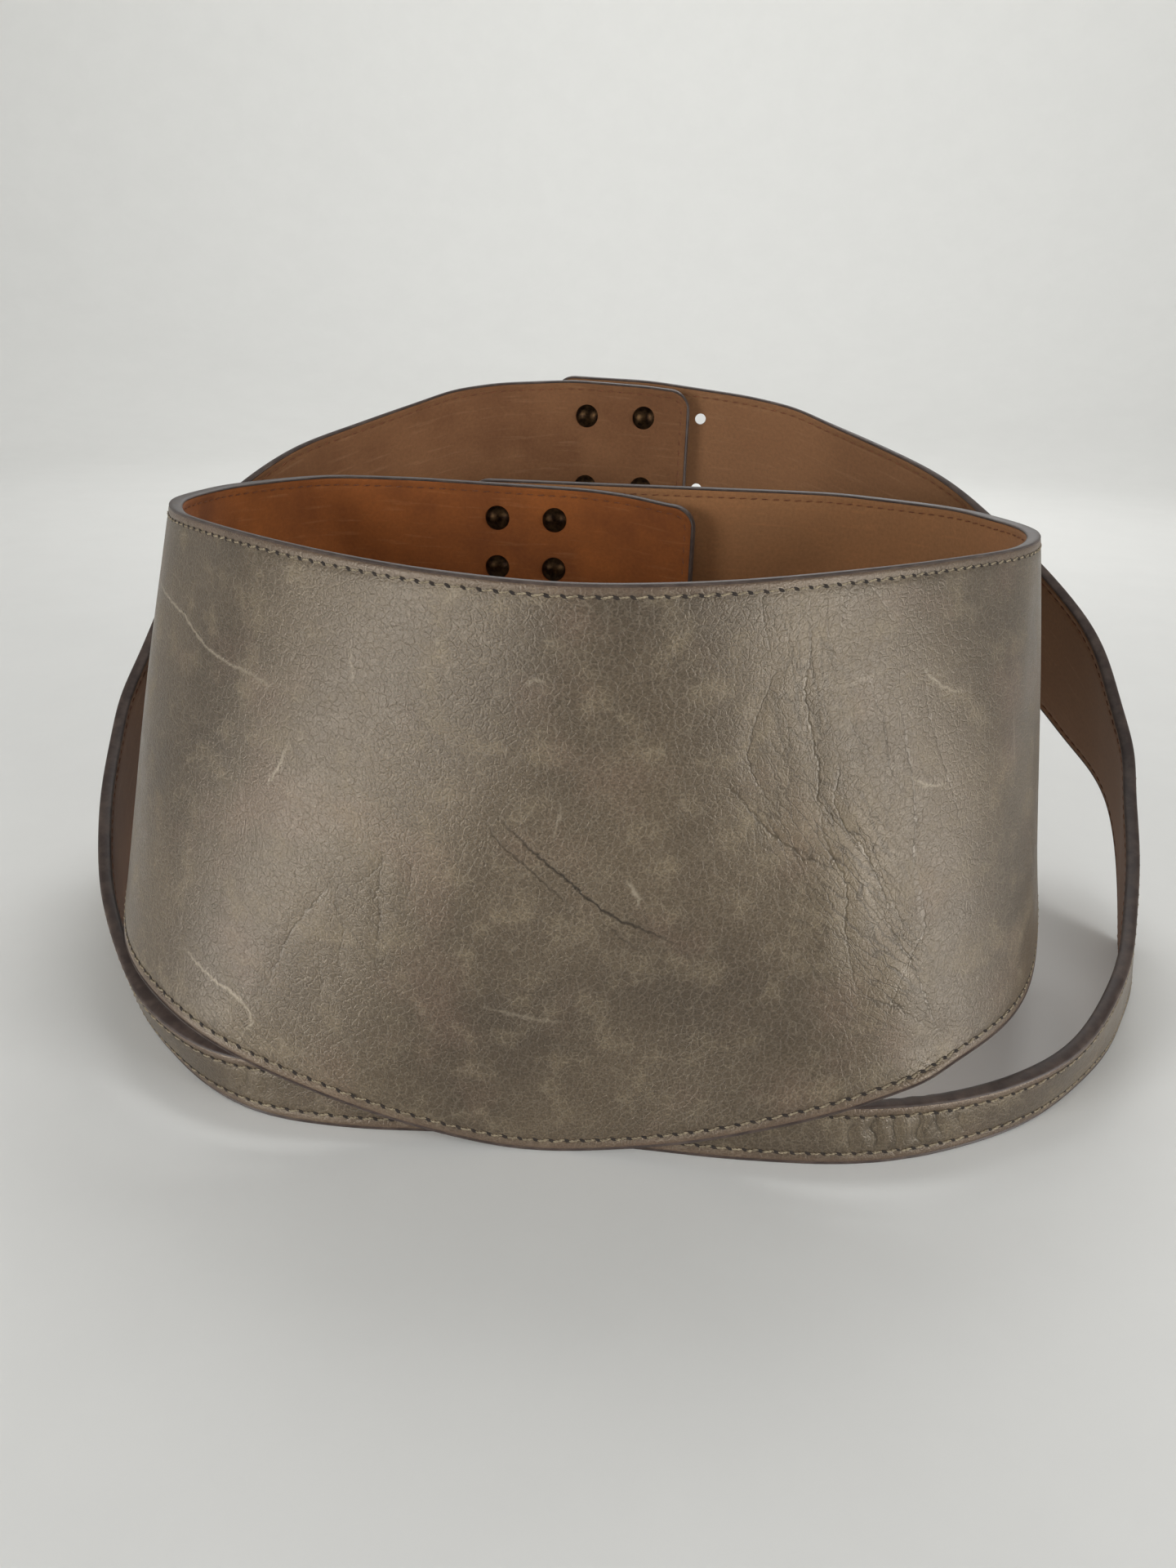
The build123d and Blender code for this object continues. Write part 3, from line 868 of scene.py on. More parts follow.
class Finishes:
    """The belt's materials, made once."""

    def __init__(self) -> None:
        """Builds every material."""
        self.leather = GreigeLeather().material()
        # Each lining is painted paler along part of its length: painted light on the right-hand part
        # of the inside.
        self.waist_lining = TanLining("cognac_lining", "#6b3b18", "#8a4f21", "#a06e45", "#8a6645",
                                      (0.3, 0.42)).material()
        self.hip_lining = TanLining("tan_lining", "#5c3b22", "#6e4b2f", "#88664a", "#745236",
                                    (0.3, 0.8)).material()
        # Acrylic edge paint, brushed on in coats and burnished: satin, with the layers just told.
        self.paint = PlainFinish("mauve_edge_paint", "#3a302c", "#52463f", 0.46, 1 / 0.22, 0.0, 0.15,
                                 0.35, 0.6, (0.42, 0.72), 0.16).material(
                                     IOR=1.48, Specular_IOR_Level=0.34)
        # Waxed polyester, two-ply: khaki cream, a little shine on the crown of each ply.
        self.thread = PlainFinish("khaki_waxed_thread", "#6a5e4b", "#9c8f76", 0.55, 0.9).material()
        self.tonal = PlainFinish("brown_thread", "#5b3219", "#7d4a28", 0.7, 0.9).material()
        # Painted shade: the dark inside of each awl hole, laid as a flat dark lens.
        self.slot = PlainFinish("awl_hole_painted_shade", "#1b1511", "#2c231c", 0.9, 0.8).material()
        # Bonded leather board, only seen inside a hole.
        self.board = PlainFinish("bonded_board", "#8b6a49", "#a07c58", 0.85, 1.5).material()
        # Brass under an antique black patina, rubbed brown on the crowns.
        self.brass = PlainFinish("aged_brass", "#1c130e", "#40301f", 0.42, 2.4, 1.0,
                                 0.03).material()


# ------------------------------------------------------------------------------------ stitches
@dataclass(frozen=True)
class StitchRow:
    """Geometry Nodes tree that lays two-ply thread, or a dark lens of painted shade in the awl hole
    between two stitches.
    """
    name: str
    length: float = 2.9
    thickness: float = 0.72
    slant: float = 9.0
    twisted: bool = True
    seed: int = 11

    def tree(self) -> tuple[bpy.types.NodeTree, dict[str, str]]:
        """Builds the tree.

        Returns:
            The tree, and its inputs' identifiers by name.
        """
        tree = bpy.data.node_groups.new(self.name, "GeometryNodeTree")
        face = tree.interface
        face.new_socket("Geometry", in_out="OUTPUT", socket_type="NodeSocketGeometry")
        names = {}
        for label, kind in (("Geometry", "Geometry"), ("Stitch length", "Float"),
                            ("Thickness", "Float"), ("Slant", "Float"), ("Seed", "Int"),
                            ("Finish", "Material")):
            made = face.new_socket(label, in_out="INPUT", socket_type="NodeSocket" + kind)
            names[label] = made.identifier
        add = partial(add_node, tree)
        given = add("NodeGroupInput").outputs
        stitch = (self._plies if self.twisted else self._slot)(add, given)
        along = add("GeometryNodeInputNamedAttribute", {"Name": "along"},
                    data_type="FLOAT_VECTOR")
        out = add("GeometryNodeInputNamedAttribute", {"Name": "out"}, data_type="FLOAT_VECTOR")
        first = add("FunctionNodeAlignRotationToVector", {"Vector": along}, axis="X")
        second = add("FunctionNodeAlignRotationToVector", {"Rotation": first, "Vector": out},
                     axis="Z", pivot_axis="X")
        jitter = add("FunctionNodeRandomValue", {2: -0.09, 3: 0.09, "Seed": given["Seed"]},
                     data_type="FLOAT")
        turn = add("ShaderNodeMath", {0: given["Slant"], 1: jitter})
        about = add("ShaderNodeCombineXYZ", {"Z": turn})
        euler = add("FunctionNodeEulerToRotation", {0: about})
        turned = add("FunctionNodeRotateRotation", {0: second, 1: euler}, rotation_space="LOCAL")
        size = add("FunctionNodeRandomValue", {2: 0.9, 3: 1.08, "Seed": given["Seed"]},
                   data_type="FLOAT")
        placed = add("GeometryNodeInstanceOnPoints", {"Points": given["Geometry"],
                                                      "Instance": stitch, "Rotation": turned,
                                                      "Scale": size})
        real = add("GeometryNodeRealizeInstances", {0: placed})
        dressed = add("GeometryNodeSetMaterial", {"Geometry": real, "Material": given["Finish"]})
        add("NodeGroupOutput", {0: dressed})
        return tree, names

    def _plies(self, add: Adder, given: Any) -> bpy.types.Node:
        """Two plies that wind round each other and dive at both ends."""
        half = add("ShaderNodeMath", {0: given["Stitch length"], 1: 0.5}, operation="MULTIPLY")
        less = add("ShaderNodeMath", {0: half, 1: -1.0}, operation="MULTIPLY")
        start = add("ShaderNodeCombineXYZ", {"X": less})
        end = add("ShaderNodeCombineXYZ", {"X": half})
        line = add("GeometryNodeCurvePrimitiveLine", {"Start": start, "End": end})
        fine = add("GeometryNodeResampleCurve", {"Curve": line, "Count": 7})
        share = add("GeometryNodeSplineParameter").outputs["Factor"]
        quarter = add("ShaderNodeMath", {0: given["Thickness"], 1: 0.26}, operation="MULTIPLY")
        arch = add("ShaderNodeMath", {0: share, 1: math.pi}, operation="MULTIPLY")
        bow = add("ShaderNodeMath", {0: arch}, operation="SINE")
        lift = add("ShaderNodeMath", {0: bow, 1: given["Thickness"]}, operation="MULTIPLY")
        rise = add("ShaderNodeMath", {0: lift, 1: 0.32}, operation="MULTIPLY")
        joined = add("GeometryNodeJoinGeometry")
        for phase in (0.4, 0.4 + math.pi):
            angle = add("ShaderNodeMath", {0: share, 1: 2.6 * math.pi, 2: phase},
                        operation="MULTIPLY_ADD")
            side = add("ShaderNodeMath", {0: angle}, operation="COSINE")
            up = add("ShaderNodeMath", {0: angle}, operation="SINE")
            y = add("ShaderNodeMath", {0: side, 1: quarter}, operation="MULTIPLY")
            z = add("ShaderNodeMath", {0: up, 1: quarter, 2: rise}, operation="MULTIPLY_ADD")
            offset = add("ShaderNodeCombineXYZ", {"Y": y, "Z": z})
            bent = add("GeometryNodeSetPosition", {"Geometry": fine, "Offset": offset})
            ring = add("GeometryNodeCurvePrimitiveCircle", {"Resolution": 5, "Radius": quarter})
            ply = add("GeometryNodeCurveToMesh", {"Curve": bent, "Profile Curve": ring,
                                                  "Fill Caps": True})
            feed(joined, {0: ply})
        smooth = add("GeometryNodeSetShadeSmooth", {"Geometry": joined})
        return smooth

    def _slot(self, add: Adder, given: Any) -> bpy.types.Node:
        """Flat dark lens of painted shade where the thread goes down through the leather."""
        ball = add("GeometryNodeMeshIcoSphere", {"Radius": 1.0, "Subdivisions": 1})
        half = add("ShaderNodeMath", {0: given["Stitch length"], 1: 0.5}, operation="MULTIPLY")
        wide = add("ShaderNodeMath", {0: given["Thickness"], 1: 0.5}, operation="MULTIPLY")
        deep = add("ShaderNodeMath", {0: given["Thickness"], 1: 0.2}, operation="MULTIPLY")
        size = add("ShaderNodeCombineXYZ", {"X": half, "Y": wide, "Z": deep})
        flat = add("GeometryNodeTransform", {"Geometry": ball, "Scale": size})
        return flat

    def lay(self, name: str, points: Array, along: Array, out: Array,
            finish: bpy.types.Material) -> bpy.types.Object:
        """Lays one piece for each point.

        Args:
            name: Name of the finished object.
            points: Middles in millimetres.
            along: Direction of the row at each.
            out: Direction away from the leather at each.
            finish: Material.

        Returns:
            Plain mesh object.
        """
        mesh = bpy.data.meshes.new(name)
        mesh.from_pydata((points * MM).tolist(), [], [])
        for key, values in (("along", along), ("out", out)):
            made = mesh.attributes.new(key, "FLOAT_VECTOR", "POINT")
            made.data.foreach_set("vector", values.astype(np.float32).ravel())
        target = bpy.data.objects.new(name, mesh)
        bpy.context.scene.collection.objects.link(target)
        tree, names = self.tree()
        modifier = target.modifiers.new(self.name, "NODES")
        modifier.node_group = tree
        for label, value in (("Stitch length", self.length * MM),
                             ("Thickness", self.thickness * MM),
                             ("Slant", math.radians(self.slant)), ("Seed", self.seed),
                             ("Finish", finish)):
            modifier[names[label]] = value
        bpy.context.view_layer.update()
        return applied(target)


# --------------------------------------------------------------------------------------- bands
@dataclass(frozen=True)
class Length:
    """One length of a band: its name, its body, and where it starts and stops."""
    part: str
    body: str
    low: float
    high: float
    bend: float | None = None      # bend line it crosses, along the band
    outwards: float = 1.0          # direction along the band from the bend line to its free end


@dataclass(frozen=True)
class Closure:
    """Studs and holes of a band's closure, in the belt's own plan."""
    columns: tuple[float, ...]
    holes: tuple[float, ...]
    rows: tuple[float, float]
    inner_y: float
    hole: float = 4.3
    barrel: float = 3.6


class Band:
    """A closed strap: one wall, cut into a tab end, a front and a strap end."""

    def __init__(self, name: str, front_part: str, stations: Sequence[Row],
                 bends: tuple[BendLine, BendLine], closure: Closure,
                 lining: bpy.types.Material, finishes: Finishes, sigma: float = 5.0) -> None:
        """Sets the band out.

        Args:
            name: "waist" or "hip", which its pieces' names start with.
            front_part: Name of the rigid length.
            stations: From the tab's tip to the strap's end.
            bends: The two bend lines.
            closure: Studs and holes.
            lining: Finish of the lining.
            finishes: Every other finish.
            sigma: Averaging of the wall.
        """
        self.name = name
        self.wall = Wall(stations, sigma)
        self.closure = closure
        self.lining = lining
        self.finishes = finishes
        left, right = (self.wall.nearest(b.x, b.y) for b in bends)
        self.wall.calm = [(-1e3, left), (right, 1e4)]
        self.lengths = [
            Length(f"{name}_tab", f"{name}_tab_end", 0.0, left + CUT_REACH, left, -1.0),
            Length(front_part, "front", left + CUT_REACH, right - CUT_REACH),
            Length(f"{name}_strap", f"{name}_strap_end", right - CUT_REACH, self.wall.length,
                   right, 1.0),
        ]

    # ---- grids
    def columns(self, length: Length, step: float) -> Array:
        """Places of the mesh columns of a length, close together round a rounded end."""
        wall = self.wall
        tip = CORNER * (1 - np.cos(np.linspace(0, np.pi / 2, 11)))
        low, high = length.low, length.high
        head, tail = [], []
        if low <= 0:
            head, low = list(EDGE + tip[:-1]), EDGE + CORNER
        if high >= wall.length:
            tail, high = list(wall.length - EDGE - tip[:-1][::-1]), wall.length - EDGE - CORNER
        count = max(2, int(round((high - low) / step)) + 1)
        return np.array(head + list(np.linspace(low, high, count)) + tail)

    def rows(self, along: Array, step: float, edge: float, near: Sequence[float]) -> Array:
        """Distances down of the mesh rows at every column.

        Args:
            along: The columns.
            step: Widest gap between rows.
            edge: Distance from the cut edge to the first row.
            near: Distances from the edge of the close rows beside it.

        Returns:
            One line a column.
        """
        wall = self.wall
        shifted = np.clip(along, EDGE, wall.length - EDGE)
        inset = wall.inset(np.where(shifted < wall.length / 2, shifted - EDGE, shifted + EDGE))
        width = wall.width(along)
        first = inset + edge
        last = width - inset - edge
        near = np.array(near)
        span = (last - first) - 2 * near[-1]
        count = max(3, int(math.ceil(float(span.max()) / step)))
        inner = np.linspace(0, 1, count + 1)[1:-1]
        parts = [first[:, None] + near[None], first[:, None] + near[-1] + span[:, None] * inner,
                 last[:, None] - near[None, ::-1]]
        return np.concatenate(parts, axis=1)

    def rim_distance(self, along: Array, down: Array) -> Array:
        """Distance of each grid point from the nearest cut edge."""
        width = self.wall.width(along)[:, None]
        inset = self.wall.inset(along)[:, None]
        ends = np.minimum(along, self.wall.length - along)[:, None]
        ends = ends + inset * TIP_SHARE
        return np.minimum(np.minimum(down - inset, width - inset - down), ends) - EDGE

    def sheet(self, length: Length, name: str, face: float, back: float, material: Any,
              step: float, row: float, edge: float, near: Sequence[float], dressed: float,
              outwards: bool) -> bpy.types.Object:
        """One closed layer of a length.

        Args:
            length: Which length.
            name: Name of the piece.
            face: Depth of the face that shows below the wall's outer face.
            back: Depth of the hidden face.
            material: Its finish.
            step: Gap between columns.
            row: Widest gap between rows.
            edge: Distance from the cut edge to the layer.
            near: Close rows beside the edge.
            dressed: 1 to round the rim and sink the stitch line, 0 for neither.
            outwards: Whether the face that shows looks away from the wearer.

        Returns:
            The object.
        """
        wall = self.wall
        along = self.columns(length, step)
        down = self.rows(along, row, edge, near)
        every = np.repeat(along[:, None], down.shape[1], axis=1)
        point, normal = wall.frame_at(every, down)
        rim = self.rim_distance(along, down)
        drop = RIM_DROP * np.clip(1 - rim / RIM_ROUND, 0, 1) ** 2
        channel = CHANNEL * np.exp(-((rim + EDGE - STITCH_INSET) / CHANNEL_HALF) ** 2)
        sink = dressed * (drop + channel)
        inward = -1.0 if outwards else 1.0
        shown = point - normal * face + normal * (inward * sink)[..., None]
        coarse = sorted(set(range(0, down.shape[1], HIDDEN_ROWS)) | {0, down.shape[1] - 1})
        hidden = (point - normal * back)[:, coarse]
        share = np.linspace(0, 1, down.shape[1])
        faces = shell_faces(len(along), down.shape[1], len(coarse), share, share[coarse], outwards)
        points = np.concatenate([shown.reshape(-1, 3), hidden.reshape(-1, 3)])
        points[:, 2] = np.maximum(points[:, 2], TABLE)
        flat_a = np.concatenate([every.ravel(), every[:, coarse].ravel()])
        flat_w = np.concatenate([down.ravel(), down[:, coarse].ravel()])
        attributes = {"rim": np.concatenate([rim.ravel(), rim[:, coarse].ravel()])}
        if outwards and dressed:
            for kind in MarkKind:
                attributes[kind.value] = wall.field(kind, flat_a, flat_w)
            attributes["crumple"] = wall.crumpling(flat_a, flat_w)
        uv = np.stack([flat_a, flat_w], -1)
        return make_object(name, points, faces, material, uv, attributes)

    # ---- paths round the edge
    def outline(self, length: Length, inset: float, step: float) -> list[Array]:
        """Paths beside a length's cut edges.

        Args:
            length: Which length.
            inset: Distance of the path from the edge.
            step: Millimetres between points.

        Returns:
            Open paths of places along and down: round the free end, or top and foot apart.
        """
        wall = self.wall
        radius = max(CORNER - inset, 0.4)
        turn = np.linspace(0, np.pi / 2, 9)
        if length.low <= 0:
            along = np.linspace(length.high, CORNER, int((length.high - CORNER) / step))
            corner_t = CORNER - radius * np.sin(turn)
        elif length.high >= wall.length:
            along = np.linspace(length.low, wall.length - CORNER,
                                int((wall.length - CORNER - length.low) / step))
            corner_t = wall.length - CORNER + radius * np.sin(turn)
        else:
            along = np.linspace(length.low, length.high,
                                int((length.high - length.low) / step))
            top = np.stack([along, np.full(along.shape, inset)], -1)
            foot = np.stack([along, wall.width(along) - inset], -1)
            return [top, foot]
        depth = CORNER - radius * np.cos(turn)
        width = wall.width(corner_t)
        top = np.stack([along, np.full(along.shape, inset)], -1)
        foot = np.stack([along, wall.width(along) - inset], -1)[::-1]
        first = np.stack([corner_t, depth], -1)[1:]
        second = np.stack([corner_t, width - depth], -1)[1:][::-1]
        count = max(2, int((second[0, 1] - first[-1, 1]) / step))
        tip = np.stack([np.full(count, corner_t[-1]),
                        np.linspace(first[-1, 1], second[0, 1], count)], -1)[1:-1]
        return [np.concatenate([top, first, tip, second, foot])]

    def edge_paint(self, length: Length) -> bpy.types.Object:
        """Painted edge of a length: a rounded bar over all three layers."""
        half = WALL / 2 - 0.04
        angle = np.linspace(-np.pi / 2, np.pi / 2, 9)
        crown = np.stack([EDGE * 1.05 * np.cos(angle) ** 0.8, half * np.sin(angle)], -1)
        profile = np.concatenate([crown, [[-0.55, half * 0.8], [-0.55, -half * 0.8]]])
        points, faces, start = [], [], 0
        for path in self.outline(length, EDGE, COLUMN):
            centre, normal = self.wall.frame_at(path[:, 0], path[:, 1])
            centre = centre - normal * WALL / 2
            run = np.gradient(centre, axis=0)
            run /= np.linalg.norm(run, axis=1)[:, None]
            out = np.cross(run, normal)
            inside, _ = self.wall.frame_at(
                np.clip(path[:, 0], CORNER + 1, self.wall.length - CORNER - 1),
                self.wall.width(path[:, 0]) / 2)
            sign = np.sign(np.sum(out * (centre - inside), axis=1))
            out *= sign[:, None]
            made, quads = tube(centre, out, normal, profile, start)
            points.append(made)
            faces += quads
            start += len(made)
        return make_object(f"{length.part}_painted_edge", np.concatenate(points), faces,
                           self.finishes.paint, tidy=True)

    def stitch_places(self) -> list[tuple[Length, Array, Array, Array]]:
        """Middles of the stitches of the whole band, shared out to its lengths.

        Returns:
            For each length: points on the outer face, directions along the row, and normals.
        """
        found = []
        for length in self.lengths:
            points, runs, normals = [], [], []
            for path in self.outline(length, STITCH_INSET, 0.8):
                place, normal = self.wall.frame_at(path[:, 0], path[:, 1])
                steps = np.linalg.norm(np.diff(place, axis=0), axis=1)
                reach = np.concatenate([[0.0], np.cumsum(steps)])
                count = int(round(reach[-1] / STITCH_PITCH))
                at = (np.arange(count) + 0.5) * reach[-1] / count
                middle = np.stack([np.interp(at, reach, place[:, k]) for k in range(3)], -1)
                facing = np.stack([np.interp(at, reach, normal[:, k]) for k in range(3)], -1)
                ahead = np.stack([np.interp(at + 1, reach, place[:, k]) for k in range(3)], -1)
                behind = np.stack([np.interp(at - 1, reach, place[:, k]) for k in range(3)], -1)
                run = ahead - behind
                points.append(middle)
                runs.append(run / np.linalg.norm(run, axis=1)[:, None])
                normals.append(facing / np.linalg.norm(facing, axis=1)[:, None])
            found.append((length, np.concatenate(points), np.concatenate(runs),
                          np.concatenate(normals)))
        return found

    # ---- holes
    def punch(self, target: bpy.types.Object, columns: Sequence[float],
              diameter: float) -> bpy.types.Object:
        """Cuts the closure's holes through a layer.

        Args:
            target: The layer.
            columns: X of each column of holes, in the belt's own plan.
            diameter: Millimetres.

        Returns:
            The layer.
        """
        work = bmesh.new()
        for x in columns:
            for z in self.closure.rows:
                place = Matrix.Translation(Vector(((x + ORIGIN[0]) * MM,
                                                   (self.closure.inner_y + ORIGIN[1]) * MM,
                                                   z * MM)))
                turn = Matrix.Rotation(math.pi / 2, 4, "X")
                bmesh.ops.create_cone(work, cap_ends=True, segments=HOLE_SIDES,
                                      radius1=diameter / 2 * MM, radius2=diameter / 2 * MM,
                                      depth=CUTTER * MM, matrix=place @ turn)
        mesh = bpy.data.meshes.new("cutter")
        work.to_mesh(mesh)
        work.free()
        cutter = bpy.data.objects.new("cutter", mesh)
        bpy.context.scene.collection.objects.link(cutter)
        modifier = target.modifiers.new("holes", "BOOLEAN")
        modifier.operation = "DIFFERENCE"
        modifier.solver = "EXACT"
        modifier.object = cutter
        bpy.context.view_layer.update()
        applied(target)
        bpy.data.objects.remove(cutter)
        bpy.data.meshes.remove(mesh)
        target.data.set_sharp_from_angle(angle=SHARP)
        return target

    # ---- everything
    def attach(self, target: bpy.types.Object, length: Length) -> None:
        """Rides a piece on its body if its length crosses no bend line; otherwise only bakes its
        transform.
        """
        if length.bend is None:
            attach(target, length.body)
            return
        along = np.array([length.bend - length.outwards * BEND_REACH,
                          length.bend + length.outwards * BEND_REACH])
        ends = self.wall.at(along, self.wall.width(along) / 2) * MM
        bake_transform(target)

    def build(self) -> None:
        """Makes every piece of the band."""
        lining_at = LEATHER + BOARD + 2 * GLUE
        near = (0.0, 0.45, 0.9, 1.5, 2.1, 2.7, 3.4, 4.4)
        for length in self.lengths:
            part = length.part
            pieces = [
                (self.sheet(length, f"{part}_outer_leather", 0.0, LEATHER, self.finishes.leather,
                            COLUMN, ROW, EDGE, near, 1.0, True), "leather", "greige_leather"),
                (self.sheet(length, f"{part}_core_board", LEATHER + GLUE, LEATHER + GLUE + BOARD,
                            self.finishes.board, 3.0, 4.0, EDGE + 0.4, (0.0, 1.5), 0.0, True),
                 "stiffener", "stiffener_board"),
                (self.sheet(length, f"{part}_skin_lining", WALL, lining_at, self.lining, COLUMN,
                            ROW * 1.3, EDGE, near, 1.0, False), "lining", "tan_lining"),
            ]
            for target, node, slot in pieces:
                if part.endswith("_tab"):
                    self.punch(target, self.closure.columns, self.closure.barrel)
                elif part.endswith("_strap"):
                    self.punch(target, self.closure.holes, self.closure.hole)
                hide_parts(f"{part}_{node}")
                self.attach(target, length)
                LOG.info("%s: %d faces", target.name, len(target.data.polygons))
            edge = self.edge_paint(length)
            self.attach(edge, length)
        self.stitch()

    def stitch(self) -> None:
        """Lays the thread on both sides of every length, and painted shade in the awl holes on its
        outer face.
        """
        seen = StitchRow("lockstitch_row", 2.7, 0.62)
        tonal = StitchRow("lining_stitch_row", 2.1, 0.48, 4.0)
        # Painted shade: a dark lens in each awl hole, where the hole's shade falls.
        slot = StitchRow("awl_hole_shade_row", 2.2, 1.0, -24.0, False)
        for length, points, runs, normals in self.stitch_places():
            pieces = [
                seen.lay(f"{length.part}_top_stitching", points - normals * THREAD_SINK, runs,
                         normals, self.finishes.thread),
                tonal.lay(f"{length.part}_lining_stitching",
                          points - normals * (WALL - LINING_THREAD_SINK), runs, -normals,
                          self.finishes.tonal),
                slot.lay(f"{length.part}_awl_hole_shade",
                         points + runs * STITCH_PITCH / 2 - normals * HOLE_SHADE_SINK, runs, normals,
                         self.finishes.slot),
            ]
            for piece in pieces:
                self.attach(piece, length)
                LOG.info("%s: %d faces", piece.name, len(piece.data.polygons))


# --------------------------------------------------------------------------------------- studs
def dress_studs(band: str, brass: bpy.types.Material, count: int = 4) -> None:
    """Gives a band's button studs and their domed screw backs, kept from the frame, their finish.

    Args:
        band: "waist" or "hip".
        brass: The finish.
        count: Studs in the band.
    """
    for kind in ("stud", "stud_back"):
        for number in range(1, count + 1):
            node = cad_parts[f"{band}_{kind}_{number}"]
            node.data.materials.clear()
            node.data.materials.append(brass)
            LOG.info("%s dressed", node.name)


# --------------------------------------------------------------------------------------- studio
@dataclass(frozen=True)
class Studio:
    """Pale sweep, soft light and the camera."""
    eye: tuple[float, float, float] = (18.45, -360.55, 197.0)
    heading: float = 4.3        # degrees left of straight ahead
    pitch: float = 22.0
    roll: float = 1.76
    lens: float = 26.0
    floor: str = "#e0e0dd"
    flat_radius: float = 1.5
    bend_radius: float = 0.9

    def camera(self) -> None:
        """Sets the camera up at a standing glance over the belt."""
        h, p, r = (math.radians(v) for v in (self.heading, self.pitch, self.roll))
        ahead = Vector((-math.sin(h) * math.cos(p), math.cos(h) * math.cos(p), -math.sin(p)))
        right = Vector((math.cos(h), math.sin(h), 0.0))
        up = right.cross(ahead)
        right_rolled = right * math.cos(r) + up * math.sin(r)
        up_rolled = up * math.cos(r) - right * math.sin(r)
        data = bpy.data.cameras.new("camera")
        data.lens = self.lens
        data.sensor_width = 36.0
        data.clip_start = 0.01
        camera = bpy.data.objects.new("camera", data)
        turn = Matrix((right_rolled, up_rolled, -ahead)).transposed().to_4x4()
        camera.matrix_world = Matrix.Translation(Vector(self.eye) * MM) @ turn
        bpy.context.scene.collection.objects.link(camera)
        bpy.context.scene.camera = camera

    def sweep(self) -> None:
        """Floor that curves up into a wall all round."""
        profile = [(r, 0.0) for r in (0.0, 0.4, 0.9, self.flat_radius)]
        for k in range(1, 17):
            a = math.radians(90 * k / 16)
            profile.append((self.flat_radius + self.bend_radius * math.sin(a),
                            self.bend_radius * (1 - math.cos(a))))
        profile.append((self.flat_radius + self.bend_radius, 2.4))
        sides = 96
        points = [(0.0, 0.0, 0.0)]
        for radius, z in profile[1:]:
            for k in range(sides):
                a = 2 * math.pi * k / sides
                points.append((radius * math.cos(a), radius * math.sin(a), z))
        faces = [[0, 1 + k, 1 + (k + 1) % sides] for k in range(sides)]
        for ring in range(len(profile) - 2):
            first, second = 1 + ring * sides, 1 + (ring + 1) * sides
            for k in range(sides):
                n = (k + 1) % sides
                faces.append([first + k, second + k, second + n, first + n])
        paper = PlainFinish("studio_paper", self.floor, "#e2e2df", 0.8, 60.0).material()
        target = make_object("studio_sweep", np.array(points) / MM, faces, paper)

    def light(self, name: str, place: Sequence[float], aim: Sequence[float],
              size: tuple[float, float], power: float) -> None:
        """Adds a soft light.

        Args:
            name: Name of the light.
            place: Metres.
            aim: Point it looks at, metres.
            size: Width and height, metres.
            power: Watts.
        """
        data = bpy.data.lights.new(name, "AREA")
        data.shape = "RECTANGLE"
        data.size, data.size_y = size
        data.energy = power
        target = bpy.data.objects.new(name, data)
        target.location = place
        direction = Vector(aim) - Vector(place)
        target.rotation_euler = direction.to_track_quat("-Z", "Y").to_euler()
        bpy.context.scene.collection.objects.link(target)

    def build(self) -> None:
        """Sweep, lights and world."""
        self.sweep()
        world = bpy.data.worlds.new("world")
        world.use_nodes = True
        ground = world.node_tree.nodes["Background"]
        ground.inputs["Color"].default_value = linear("#f2f4f6")
        ground.inputs["Strength"].default_value = 0.12
        bpy.context.scene.world = world
        self.light("overhead", (0.0, 0.1, 1.25), (0, 0.1, 0), (0.7, 0.7), 0.7)
        self.light("front", (0.0, -0.95, 0.95), (0, 0, 0.08), (0.7, 0.5), 0.9)
        self.light("rear", (0.1, 1.15, 0.9), (0, 0, 0.08), (0.9, 0.6), 4)
        self.light("backdrop", (0.0, 1.2, 1.9), (0, 2.0, 0.2), (1.2, 1.2), 20)
        self.light("left_strip", (-0.8, -0.82, 0.26), (0, 0, 0.08), (0.42, 0.5), 9.6)
        self.light("right_strip", (1.03, -0.58, 0.26), (0, 0, 0.08), (0.46, 0.5), 10)
        bpy.context.scene.view_settings.view_transform = "Standard"


# ---------------------------------------------------------------------------------------- belt
WAIST_HALF: list[Row] = [
    (0.0, -100.0, 143.0, 0.0, -121.0, 0.0),
    (30.0, -96.0, 143.6, 27.0, -122.0, 4.0),
    (55.0, -86.0, 144.4, 52.0, -123.0, 12.0),
    (77.0, -73.0, 145.0, 76.0, -121.0, 20.0),
    (100.0, -54.0, 145.0, 100.0, -111.0, 27.0),
    (121.0, -31.0, 144.5, 123.0, -87.0, 30.0),
    (132.0, -5.0, 144.0, 140.0, -47.0, 32.0),
    (130.0, 24.0, 144.0, 147.0, 4.0, 42.0),
    (118.0, 46.0, 144.0, 128.0, 38.0, 72.0),
]
HIP_RIGHT_SIDE: list[Row] = [
    (0.0, -113.2, 17.0, 0.0, -116.2, 0.0),
    (27.0, -114.2, 17.0, 27.0, -117.5, 0.0),
    (52.0, -115.2, 17.0, 52.0, -118.5, 0.0),
    (76.0, -114.6, 16.5, 76.0, -117.5, 0.0),
    (99.0, -109.4, 16.0, 100.0, -110.6, 0.0),
    (122.0, -101.0, 16.5, 123.0, -99.0, 0.0),
    (143.0, -86.0, 20.0, 145.0, -79.0, 0.0),
    (160.0, -62.0, 29.0, 165.0, -52.0, 0.0),
    (172.0, -34.0, 41.0, 182.5, -20.0, 0.0),
    (179.0, -3.0, 57.0, 192.5, 10.0, 0.0),
    (182.0, 28.0, 78.0, 193.5, 50.0, 38.0),
    (175.0, 60.0, 103.0, 182.0, 86.0, 56.0),
    (158.0, 84.0, 123.0, 160.0, 106.0, 76.0),
    (132.0, 105.0, 144.0, 133.0, 112.0, 94.0),
    (103.0, 120.0, 157.0, 103.0, 122.0, 104.5),
]
